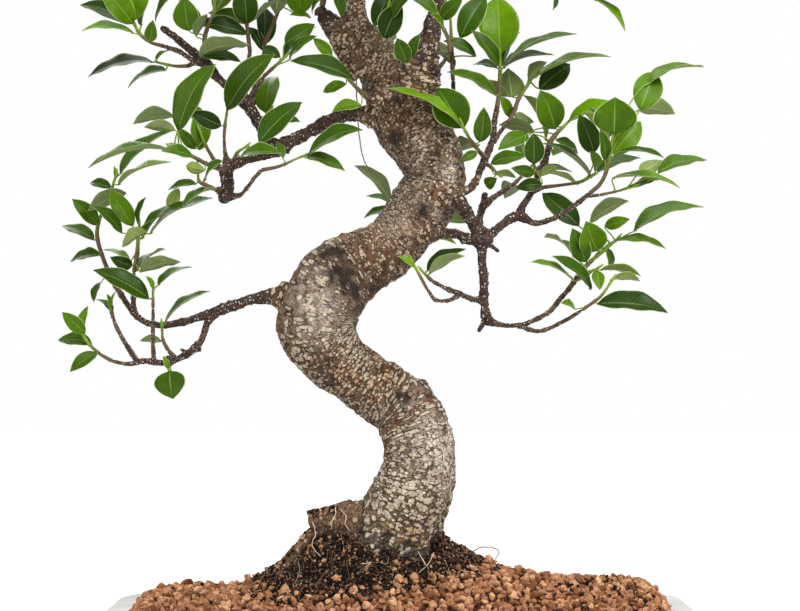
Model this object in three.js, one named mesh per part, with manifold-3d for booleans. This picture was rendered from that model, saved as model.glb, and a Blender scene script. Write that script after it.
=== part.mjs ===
// Chinese banyan bonsai: an S-shaped ficus with leafy shoots, in a long stone tray of akadama.
// Millimetres, +Z up, +X to the right and +Y away from the viewer. The origin is the middle of the
// tray's flat underside.
import * as THREE from 'three';
import { mergeVertices } from 'three/addons/utils/BufferGeometryUtils.js';
import Module from 'manifold-3d';

const wasm = await Module();
wasm.setup();
const group = new THREE.Group();

// Driving sizes of the tray and of what fills it.
const tray = {
  length: 520, depth: 346, height: 80, taper: 10, corner: 38, rim: 35, floor: 14, innerCorner: 22,
  footRound: 2, band: 12, edgeRound: 3,
};
const drain = {
  x: 130, radius: 14, sides: 16, grooveWidth: 12, grooveDepth: 3, screenSize: 44, screenHeight: 1.6,
};
const bed = {
  edgeHeight: 83, rise: 25, tilt: 4, relief: 1.6, heap: 14, heapWidth: 0.42,
  levels: [1, 0.97, 0.92, 0.8, 0.64, 0.44],
};
const mound = {
  x: -25, y: 4, halfLength: 115, halfDepth: 76, rise: 84, flatShare: 0.4, relief: 1.5, sides: 24, sunk: 60,
  bottom: 34,
};
const seat = 0.35;

// The trunk's section and its flutes, and the sizes of leaves and shoots.
const bark = {
  trunkSides: 13, rootSides: 6, flutes: 5, fluteDepth: 0.07, fluteTop: 0.22, oval: 0.02, takenStep: 3,
};
const leaf = {
  petioleRadius: 0.7, rootRadius: 0.35, shortPetiole: 15, spacing: 3.5, rib: 1, foldDegrees: 13, arch: 0.1,
  aspect: 0.47, widest: 31, budLength: 22, longLength: 70,
};
const grown = {
  shortest: 36, longest: 54, petiole: 9, goldenAngle: 137.5, smaller: 0.8, wideTurn: 50,
};

// What a leaf tries, in order, until it is clear: millimetres in depth, or degrees round its shoot.
const depthTrials = [0, 9, -9, 18, -18, 27, -27, 38, -38, 50, -50];
const turnTrials = [0, 24, -24, 48, -48, 76, -76, 110, -110];

// How far the balls that stand for each thing reach past it, so that nothing touches a neighbour.
const room = { trunk: 3, limb: 0.8, twig: 0.6, stem: 0.5, petiole: 1.2, blade: 2.2, leafReach: 60 };
const colour = {
  bark: 0x8b7355, peat: 0x2b211b, akadama: 0xa8743f, stone: 0xb9b8b4, screen: 0x20221f,
  oldLeaf: 0x2f5c17, youngLeaf: 0x8bb03a,
};

// The routes below are read off one picture: [across, down, depth behind the trunk, width]. Across,
// down and width are picture units, depth is in millimetres. The eye that saw the picture stands
// in front of the trunk, and this is how a unit becomes a place in millimetres.
const eye = { across: 400, down: 305.5, focal: 1755, distance: 1500, height: 299, upDegrees: 1.811 };
const unitsPerMillimetre = eye.focal / eye.distance;

function place(across, down, depth) {
  const tilt = THREE.MathUtils.degToRad(eye.upDegrees);
  const forward = eye.focal * Math.cos(tilt) - (eye.down - down) * Math.sin(tilt);
  const up = eye.focal * Math.sin(tilt) + (eye.down - down) * Math.cos(tilt);
  const scale = (eye.distance + depth) / forward;
  return new THREE.Vector3((across - eye.across) * scale, depth, eye.height + up * scale);
}

function places(route) {
  return route.map(([across, down, depth, width]) => ({
    point: place(across, down, depth),
    radius: (width / 2) * (eye.distance + depth) / eye.focal,
  }));
}

// The way each point of a route faces: along it, and two directions across that turn with it.
function framesAlong(stations) {
  let across = null;
  return stations.map(({ point, radius }, index) => {
    const before = stations[Math.max(index - 1, 0)].point;
    const after = stations[Math.min(index + 1, stations.length - 1)].point;
    const along = after.clone().sub(before).normalize();
    if (!across) across = new THREE.Vector3(0, 1, 0);
    across = across.clone().addScaledVector(along, -across.dot(along)).normalize();
    const beside = new THREE.Vector3().crossVectors(along, across);
    return { point, radius, along, across, beside };
  });
}

function ring(frame, sides, radius, shift = 0, shape = () => 1) {
  return Array.from({ length: sides }, (_, index) => {
    const angle = (2 * Math.PI * index) / sides;
    const reach = radius * shape(angle);
    return frame.point.clone()
      .addScaledVector(frame.along, shift)
      .addScaledVector(frame.across, reach * Math.cos(angle))
      .addScaledVector(frame.beside, reach * Math.sin(angle));
  });
}

// A closed solid through rings with equal numbers of corners. It ends flat, or in a point.
function loft(rings, point = null) {
  const sides = rings[0].length;
  const corners = rings.flat();
  const triangles = [];
  for (let level = 0; level < rings.length - 1; level += 1) {
    for (let side = 0; side < sides; side += 1) {
      const a = level * sides + side;
      const b = level * sides + ((side + 1) % sides);
      triangles.push([a, b, b + sides], [a, b + sides, a + sides]);
    }
  }
  const last = (rings.length - 1) * sides;
  for (let side = 1; side < sides - 1; side += 1) triangles.push([0, side + 1, side]);
  if (point) {
    corners.push(point);
    for (let side = 0; side < sides; side += 1) {
      triangles.push([last + side, last + ((side + 1) % sides), corners.length - 1]);
    }
  } else {
    for (let side = 1; side < sides - 1; side += 1) triangles.push([last, last + side, last + side + 1]);
  }
  return solid(corners, triangles);
}

// A manifold from corners and triangles, turned the right way out.
function solid(corners, triangles) {
  let volume = 0;
  for (const [a, b, c] of triangles) {
    volume += corners[a].dot(new THREE.Vector3().crossVectors(corners[b], corners[c]));
  }
  const facing = volume > 0 ? triangles : triangles.map(([a, b, c]) => [a, c, b]);
  return new wasm.Manifold(new wasm.Mesh({
    numProp: 3,
    vertProperties: new Float32Array(corners.flatMap((corner) => corner.toArray())),
    triVerts: new Uint32Array(facing.flat()),
  }));
}

// A solid made by three.js, as a manifold: only its positions are kept, with shared corners merged.
function solidFrom(geometry) {
  geometry.deleteAttribute('normal');
  geometry.deleteAttribute('uv');
  const merged = mergeVertices(geometry, 1e-4);
  return new wasm.Manifold(new wasm.Mesh({
    numProp: 3,
    vertProperties: merged.attributes.position.array,
    triVerts: new Uint32Array(merged.index.array),
  }));
}

function joinAll(solids) {
  return solids.reduce((joined, next) => joined.add(next));
}

function addPiece(name, body, color, roughness) {
  const { vertProperties, triVerts } = body.getMesh();
  const geometry = new THREE.BufferGeometry();
  geometry.setAttribute('position', new THREE.BufferAttribute(vertProperties, 3));
  geometry.setIndex(new THREE.BufferAttribute(triVerts, 1));
  geometry.computeVertexNormals();
  const mesh = new THREE.Mesh(geometry, new THREE.MeshStandardMaterial({ color, roughness, metalness: 0 }));
  mesh.name = name;
  group.add(mesh);
}

// A rectangle with round corners, counter-clockwise, as points at one height.
function roundedOutline(length, depth, corner, cornerSteps, sideSteps, z) {
  const centres = [[1, 1], [-1, 1], [-1, -1], [1, -1]];
  const points = [];
  centres.forEach(([alongX, alongY], quarter) => {
    const middle = new THREE.Vector3(alongX * (length / 2 - corner), alongY * (depth / 2 - corner), z);
    for (let step = 0; step <= cornerSteps; step += 1) {
      const angle = (Math.PI / 2) * (quarter + step / cornerSteps);
      const outward = new THREE.Vector3(Math.cos(angle), Math.sin(angle), 0);
      points.push(middle.clone().addScaledVector(outward, corner));
    }
    const next = centres[(quarter + 1) % 4];
    const from = points[points.length - 1];
    const turn = (Math.PI / 2) * (quarter + 1);
    const to = new THREE.Vector3(
      next[0] * (length / 2 - corner) + corner * Math.cos(turn),
      next[1] * (depth / 2 - corner) + corner * Math.sin(turn),
      z,
    );
    for (let step = 1; step < sideSteps; step += 1) points.push(from.clone().lerp(to, step / sideSteps));
  });
  return points;
}

const innerLength = tray.length - 2 * tray.rim;
const innerDepth = tray.depth - 2 * tray.rim;

function boxAt(x, y, z, length, depth, height) {
  return solidFrom(new THREE.BoxGeometry(length, depth, height).translate(x, y, z));
}

// The tray, open on top, with drainage holes and a groove under each that lets the water out.
function trayBody() {
  const outline = (inset, z) => (
    roundedOutline(tray.length - 2 * inset, tray.depth - 2 * inset, tray.corner - inset / 2, 4, 1, z));
  const underBand = tray.height - tray.band;
  let body = loft([
    outline(tray.taper + tray.footRound, 0), outline(tray.taper, tray.footRound),
    outline(tray.footRound, underBand - tray.footRound), outline(0, underBand),
    outline(0, tray.height - tray.edgeRound), outline(tray.edgeRound, tray.height),
  ]);
  const cavity = (z) => roundedOutline(innerLength, innerDepth, tray.innerCorner, 3, 1, z);
  body = body.subtract(loft([cavity(tray.floor), cavity(tray.height + 1)]));
  for (const x of [-drain.x, drain.x]) {
    const hole = new THREE.CylinderGeometry(drain.radius, drain.radius, 3 * tray.floor, drain.sides);
    body = body.subtract(solidFrom(hole.rotateX(Math.PI / 2).translate(x, 0, tray.floor / 2)));
    body = body.subtract(boxAt(x, 0, 0, drain.grooveWidth, tray.depth + 2, 2 * drain.grooveDepth));
  }
  return body;
}

// How far a place lies from the mound's middle, as a share of the way to its edge.
function moundShare(x, y) {
  return Math.hypot((x - mound.x) / mound.halfLength, (y - mound.y) / mound.halfDepth);
}

// The bed is a dome of grains heaped over the rim, higher at the right and in front of the mound,
// and the mound rises out of it round the trunk.
function bedHeight(x, y) {
  const along = Math.min(1, Math.abs(x) / (innerLength / 2));
  const deep = Math.min(1, Math.abs(y) / (innerDepth / 2));
  const shoulder = (1 - along ** 24) ** 0.8 * (1 - deep ** 1.3);
  const grains = Math.sin(0.31 * x + 1.7) * Math.sin(0.37 * y + 0.4) + Math.sin(0.173 * x - 0.219 * y);
  const rise = bed.rise + bed.tilt * (x / innerLength) * 2 + bed.relief * grains;
  const angle = Math.atan2(y - mound.y, x - mound.x);
  const away = (moundShare(x, y) - 0.95) / bed.heapWidth;
  const heap = bed.heap * Math.max(0, Math.cos(angle + Math.PI / 4)) * Math.exp(-(away ** 2));
  return bed.edgeHeight + rise * shoulder + heap * (1 - deep ** 4);
}

function bedBody() {
  const rings = bed.levels.map((level) => (
    roundedOutline(innerLength - 2 * seat, innerDepth - 2 * seat, tray.innerCorner, 3, 6, 0).map((corner) => {
      const inner = corner.multiplyScalar(level);
      return inner.setZ(bedHeight(inner.x, inner.y));
    })));
  const under = rings[0].map((corner) => new THREE.Vector3(corner.x, corner.y, tray.floor + seat));
  return loft([under, ...rings], new THREE.Vector3(0, 0, bedHeight(0, 0)));
}

function moundOutline(level, clearance, z) {
  return Array.from({ length: mound.sides }, (_, index) => {
    const angle = (2 * Math.PI * index) / mound.sides;
    const wave = 1 + 0.03 * Math.sin(3 * angle + 1) + 0.02 * Math.sin(7 * angle);
    const x = mound.x + (mound.halfLength * wave * level + clearance) * Math.cos(angle);
    const y = mound.y + (mound.halfDepth * wave * level + clearance) * Math.sin(angle);
    return new THREE.Vector3(x, y, z(x, y, level));
  });
}

function moundBody(clearance) {
  const top = (x, y, level) => (
    bedHeight(x, y) + mound.rise * (1 - Math.max(level, mound.flatShare)) ** 1.2
    + mound.relief * Math.sin(0.2 * x) * Math.cos(0.23 * y) + 6 * clearance);
  const sunk = () => mound.sunk;
  const under = () => mound.bottom - clearance;
  const rings = [
    moundOutline(0.84, clearance, under), moundOutline(1, clearance, sunk), moundOutline(1, clearance, top),
    moundOutline(0.86, 0, top), moundOutline(0.62, 0, top), moundOutline(0.35, 0, top),
  ];
  return loft(rings, new THREE.Vector3(mound.x, mound.y, top(mound.x, mound.y, 0)));
}

const screenZ = tray.floor + seat + drain.screenHeight / 2;
const screenAt = (x, spare) => boxAt(
  x, 0, screenZ, drain.screenSize + 2 * spare, drain.screenSize + 2 * spare, drain.screenHeight + 2 * spare,
);

function sidesFor(stations) {
  const { radius } = stations[Math.floor(stations.length / 2)];
  if (radius > 7) return 8;
  if (radius > 3.3) return 6;
  return radius > 2.1 ? 4 : 3;
}

// A round-sectioned limb along a route, grown all round by a clearance where a hole is cut for it.
function limb(route, sides, clearance = 0, shapeAt = () => () => 1) {
  const frames = framesAlong(places(route));
  const rings = frames.map((frame, index) => {
    let shift = 0;
    if (index === 0) shift = -clearance;
    if (index === frames.length - 1) shift = clearance;
    return ring(frame, sides, frame.radius + clearance, shift, shapeAt(index / (frames.length - 1)));
  });
  return loft(rings);
}

// The trunk is fluted where it flares into its roots, and slightly oval above.
function trunkShape(rise) {
  const flute = Math.max(0, bark.fluteDepth * (1 - rise / bark.fluteTop));
  return (angle) => (
    1 + flute * Math.cos(bark.flutes * angle + 0.6) + bark.oval * Math.cos(2 * angle + 7 * rise));
}

// The trunk and its surface roots, which stand in a hole of their own form in the soil.
function foot(clearance) {
  const stem = limb(trunkRoute, bark.trunkSides, clearance, trunkShape);
  return joinAll([stem, ...roots.map((route) => limb(route, bark.rootSides, clearance))]);
}

// What has been placed so far, as balls: leaves are turned until their own balls are clear of them.
const taken = [];

function takeRoute(stations, owner, spare) {
  for (let index = 0; index < stations.length - 1; index += 1) {
    const from = stations[index];
    const to = stations[index + 1];
    const steps = Math.max(1, Math.ceil(from.point.distanceTo(to.point) / bark.takenStep));
    for (let step = 0; step <= steps; step += 1) {
      const part = step / steps;
      const point = from.point.clone().lerp(to.point, part);
      const radius = from.radius + (to.radius - from.radius) * part;
      taken.push({ point, radius: radius + spare, owner });
    }
  }
}

function halfWidth(width, part) {
  return (width / 2) * Math.sin(Math.PI * part ** 0.8);
}

function bladeCentre(plan, part) {
  return plan.base.clone()
    .addScaledVector(plan.along, plan.length * part)
    .addScaledVector(plan.normal, leaf.arch * plan.length * 4 * part * (1 - part));
}

// Where a leaf's blade lies. Longer blades have more stations along them.
function planLeaf(attach, base, tip, facing, width) {
  const length = base.distanceTo(tip);
  let stations = [0.32, 0.72];
  if (length < leaf.budLength) stations = [0.5];
  if (length > leaf.longLength) stations = [0.24, 0.54, 0.84];
  const along = tip.clone().sub(base).normalize();
  const normal = facing.clone().addScaledVector(along, -facing.dot(along)).normalize();
  const beside = new THREE.Vector3().crossVectors(along, normal);
  return { attach, base, tip, length, along, normal, beside, width, stations };
}

function bladeRing(plan, centre, reach, rib) {
  const fold = THREE.MathUtils.degToRad(leaf.foldDegrees);
  const edge = (side) => centre.clone()
    .addScaledVector(plan.beside, side * reach * Math.cos(fold))
    .addScaledVector(plan.normal, reach * Math.sin(fold));
  return [edge(1), edge(-1), centre.clone().addScaledVector(plan.normal, -rib)];
}

// The petiole's section, square to the way it runs there.
function petioleRing(plan, centre, toward, radius) {
  const normal = plan.normal.clone().addScaledVector(toward, -plan.normal.dot(toward));
  if (normal.length() < 0.3) {
    normal.copy(plan.along).addScaledVector(toward, -plan.along.dot(toward)).negate();
  }
  normal.normalize();
  const beside = new THREE.Vector3().crossVectors(toward, normal);
  return bladeRing({ beside, normal }, centre, radius, radius);
}

// One petiole and blade: three-sided, with the midrib as its keel.
function leafSolid(plan) {
  const { stations } = plan;
  const centres = stations.map((part) => bladeCentre(plan, part));
  const rings = stations.map((part, index) => (
    bladeRing(plan, centres[index], halfWidth(plan.width, part), leaf.rib)));
  const next = plan.attach.distanceTo(plan.base) > leaf.shortPetiole ? plan.base : centres[0];
  const toward = next.clone().sub(plan.attach).normalize();
  if (next === plan.base) {
    const turn = toward.clone().add(plan.along).normalize();
    rings.unshift(petioleRing(plan, plan.base, turn, leaf.petioleRadius));
  }
  return loft([petioleRing(plan, plan.attach, toward, leaf.rootRadius), ...rings], plan.tip);
}

function leafBalls(plan, owner) {
  const balls = [];
  for (const part of [0.4, 0.7, 1]) {
    balls.push({ point: plan.attach.clone().lerp(plan.base, part), radius: room.petiole, owner });
  }
  const rise = Math.sin(THREE.MathUtils.degToRad(leaf.foldDegrees));
  for (const part of [0.12, 0.26, 0.4, 0.54, 0.68, 0.82, 0.92, 1]) {
    for (const side of [-1, -0.5, 0, 0.5, 1]) {
      const reach = side * halfWidth(plan.width, part);
      const point = bladeCentre(plan, part)
        .addScaledVector(plan.beside, reach)
        .addScaledVector(plan.normal, Math.abs(reach) * rise);
      balls.push({ point, radius: room.blade, owner, blade: part > 0.2 });
    }
  }
  return balls;
}

function isClear(balls, owner, ownToo) {
  const middle = balls[23].point;
  const near = taken.filter((ball) => ball.point.distanceTo(middle) < room.leafReach + ball.radius);
  const others = near.filter((ball) => ball.owner !== owner);
  const own = ownToo ? near.filter((ball) => ball.owner === owner && ball.blade) : [];
  return balls.every(({ point, radius, blade }) => (
    others.every((ball) => ball.point.distanceTo(point) > ball.radius + radius)
    && (!blade || own.every((ball) => ball.point.distanceTo(point) > ball.radius))));
}

// The point of a green stem nearest to a place, a little above where the green begins and clear of
// the petioles that are there already.
function nearestOnStem(stem, target, used) {
  let best = null;
  let least = Infinity;
  for (let index = 0; index < stem.length - 1; index += 1) {
    const from = stem[index].point;
    const to = stem[index + 1].point;
    const steps = Math.ceil(from.distanceTo(to) / 1.5);
    for (let step = index === 0 ? 2 : 0; step < steps; step += 1) {
      const point = from.clone().lerp(to, step / steps);
      const crowded = used.some((other) => other.distanceTo(point) < leaf.spacing);
      const distance = point.distanceTo(target) + (crowded ? 1000 : 0);
      if (distance < least) {
        least = distance;
        best = point;
      }
    }
  }
  return best;
}

// A leaf traced from the picture, with its tip moved in depth by a trial amount.
function tracedLeaf(stem, traced, trial, used) {
  const [baseAcross, baseDown, tipAcross, tipDown, widthSeen, behind, , side] = traced;
  const stemDepth = stem[stem.length - 1].point.y;
  const attach = nearestOnStem(stem, place(baseAcross, baseDown, stemDepth), used);
  const base = place(baseAcross, baseDown, attach.y + 0.25 * (behind + trial));
  const tip = place(tipAcross, tipDown, attach.y + behind + trial);
  const length = base.distanceTo(tip);
  const seen = widthSeen / unitsPerMillimetre;
  const width = Math.max(seen, Math.min(leaf.aspect * length, leaf.widest));
  const along = tip.clone().sub(base).normalize();
  const toViewer = new THREE.Vector3(0, -1, 0).addScaledVector(along, along.y).normalize();
  const upward = new THREE.Vector3().crossVectors(along, toViewer);
  if (upward.z < 0) upward.negate();
  const roll = Math.acos(Math.min(1, seen / width));
  const facing = toViewer.multiplyScalar(side * Math.cos(roll)).addScaledVector(upward, Math.sin(roll));
  return planLeaf(attach, base, tip, facing, width);
}

// A leaf grown on the green part of a shoot: they follow each other round it at the golden angle.
function grownLeaf(frames, index, count, turn, size) {
  const draw = (index * 0.618 + count * 0.37) % 1;
  const position = ((index + 0.6) / count) * (frames.length - 1);
  const level = Math.min(Math.floor(position), frames.length - 2);
  const from = frames[level];
  const onward = Math.max(position - level, level === 0 ? 0.3 : 0);
  const attach = from.point.clone().lerp(frames[level + 1].point, onward);
  const angle = THREE.MathUtils.degToRad(index * grown.goldenAngle + turn);
  const lean = THREE.MathUtils.degToRad(80 - 42 * (index / count) + 12 * (draw - 0.5));
  const radial = from.across.clone().multiplyScalar(Math.cos(angle))
    .addScaledVector(from.beside, Math.sin(angle));
  const toward = from.along.clone().multiplyScalar(Math.cos(lean)).addScaledVector(radial, Math.sin(lean));
  toward.z -= 0.08;
  toward.normalize();
  const length = (grown.shortest + (grown.longest - grown.shortest) * draw) * size;
  const base = attach.clone().addScaledVector(toward, grown.petiole);
  const tip = base.clone().addScaledVector(toward, length);
  const facing = from.along.clone().multiplyScalar(0.6).add(new THREE.Vector3(0, -0.15, 0.8));
  return planLeaf(attach, base, tip, facing, Math.min(leaf.aspect * length, leaf.widest));
}

const trunkRoute = [
  [398, 628, 0, 84], [398, 592, 0, 92], [398, 560, 0, 92], [396, 540, -2, 90], [402, 515, -4, 86],
  [414, 487, -6, 78], [420, 460, -6, 71], [417, 436, -2, 70], [404, 410, 3, 66], [383, 394, 6, 61],
  [362, 380, 6, 58], [339, 361, 4, 62], [323, 341, 0, 74], [318, 320, -4, 80], [323, 300, -6, 77],
  [338, 279, -6, 76], [359, 265, -4, 65], [385, 249, 0, 60], [406, 228, 2, 58], [424, 204, 2, 60],
  [435, 178, 0, 57], [428, 152, -3, 62], [408, 126, -3, 64], [398, 103, 0, 60], [384, 73, 2, 51],
  [370, 52, 3, 45], [359, 33, 3, 37], [355, 16, 2, 28], [353, 0, 0, 26], [354, -20, 0, 24],
  [362, -45, 0, 21], [374, -70, 2, 18], [378, -94, 2, 13], [373, -118, 0, 8],
];

// The log-like root at the left of the trunk's foot and the one that runs down under it.
const roots = [
  [[392, 535, 0, 44], [355, 522, -6, 32], [330, 520, -10, 26], [308, 521, -12, 19]],
  [[372, 540, -8, 30], [335, 528, -8, 20], [312, 534, -10, 12], [298, 548, -14, 11], [287, 561, -18, 10],
    [279, 571, -22, 9], [274, 578, -24, 7]],
];

// Brown limbs, from inside what they grow from to their cut or bare end.
const limbs = [
  [[404, 118, -4, 34], [415, 90, -8, 30], [424, 60, -12, 27], [430, 35, -12, 19], [436, 14, -8, 16],
    [440, 0, -5, 14], [446, -25, 2, 12], [455, -55, 10, 9], [462, -76, 14, 7]],
  [[368, 70, 0, 26], [352, 50, -4, 22], [336, 30, -8, 18], [321, 12, -12, 15]],
  [[392, 116, -2, 26], [366, 115, -6, 16], [350, 114, -10, 13], [327, 122, -18, 13], [310, 132, -25, 12],
    [290, 142, -32, 12], [265, 155, -42, 8], [250, 159, -48, 8], [236, 163, -53, 11], [228, 168, -56, 13],
    [227, 180, -57, 13], [226, 192, -58, 13], [222, 203, -60, 11]],
  [[282, 150, -36, 12], [272, 144, -34, 11], [262, 130, -28, 10], [257, 120, -24, 10], [250, 108, -17, 12],
    [242, 101, -12, 11], [232, 90, -5, 8], [218, 78, 4, 8], [206, 62, 16, 9], [190, 50, 26, 8],
    [175, 37, 34, 7], [161, 27, 40, 6]],
  [[436, 196, -8, 26], [456, 200, -24, 15], [466, 212, -30, 12], [476, 228, -34, 11], [483, 240, -37, 11]],
  [[424, 232, -10, 18], [445, 233, -23, 10], [456, 234, -30, 9], [468, 239, -35, 10], [484, 240, -37, 11],
    [489, 235, -34, 9], [501, 226, -30, 8], [511, 218, -26, 9], [519, 215, -23, 9], [523, 206, -18, 7],
    [530, 195, -10, 6], [536, 180, -2, 6], [543, 165, 6, 6]],
  [[483, 240, -37, 8], [479, 224, -10, 7], [481, 212, 6, 7], [484, 203, 15, 7], [485, 193, 22, 6]],
  [[484, 242, -37, 5], [493, 247, -39, 4], [499, 252, -41, 4]],
  [[487, 318, -43, 5], [478, 332, -46, 4]],
  [[482, 236, -36, 10], [482, 260, -38, 8], [484, 281, -40, 9], [484, 304, -42, 8], [487, 320, -43, 8]],
  [[200, 349, -36, 5], [188, 352, -44, 4], [180, 349, -48, 3]],
];

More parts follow.
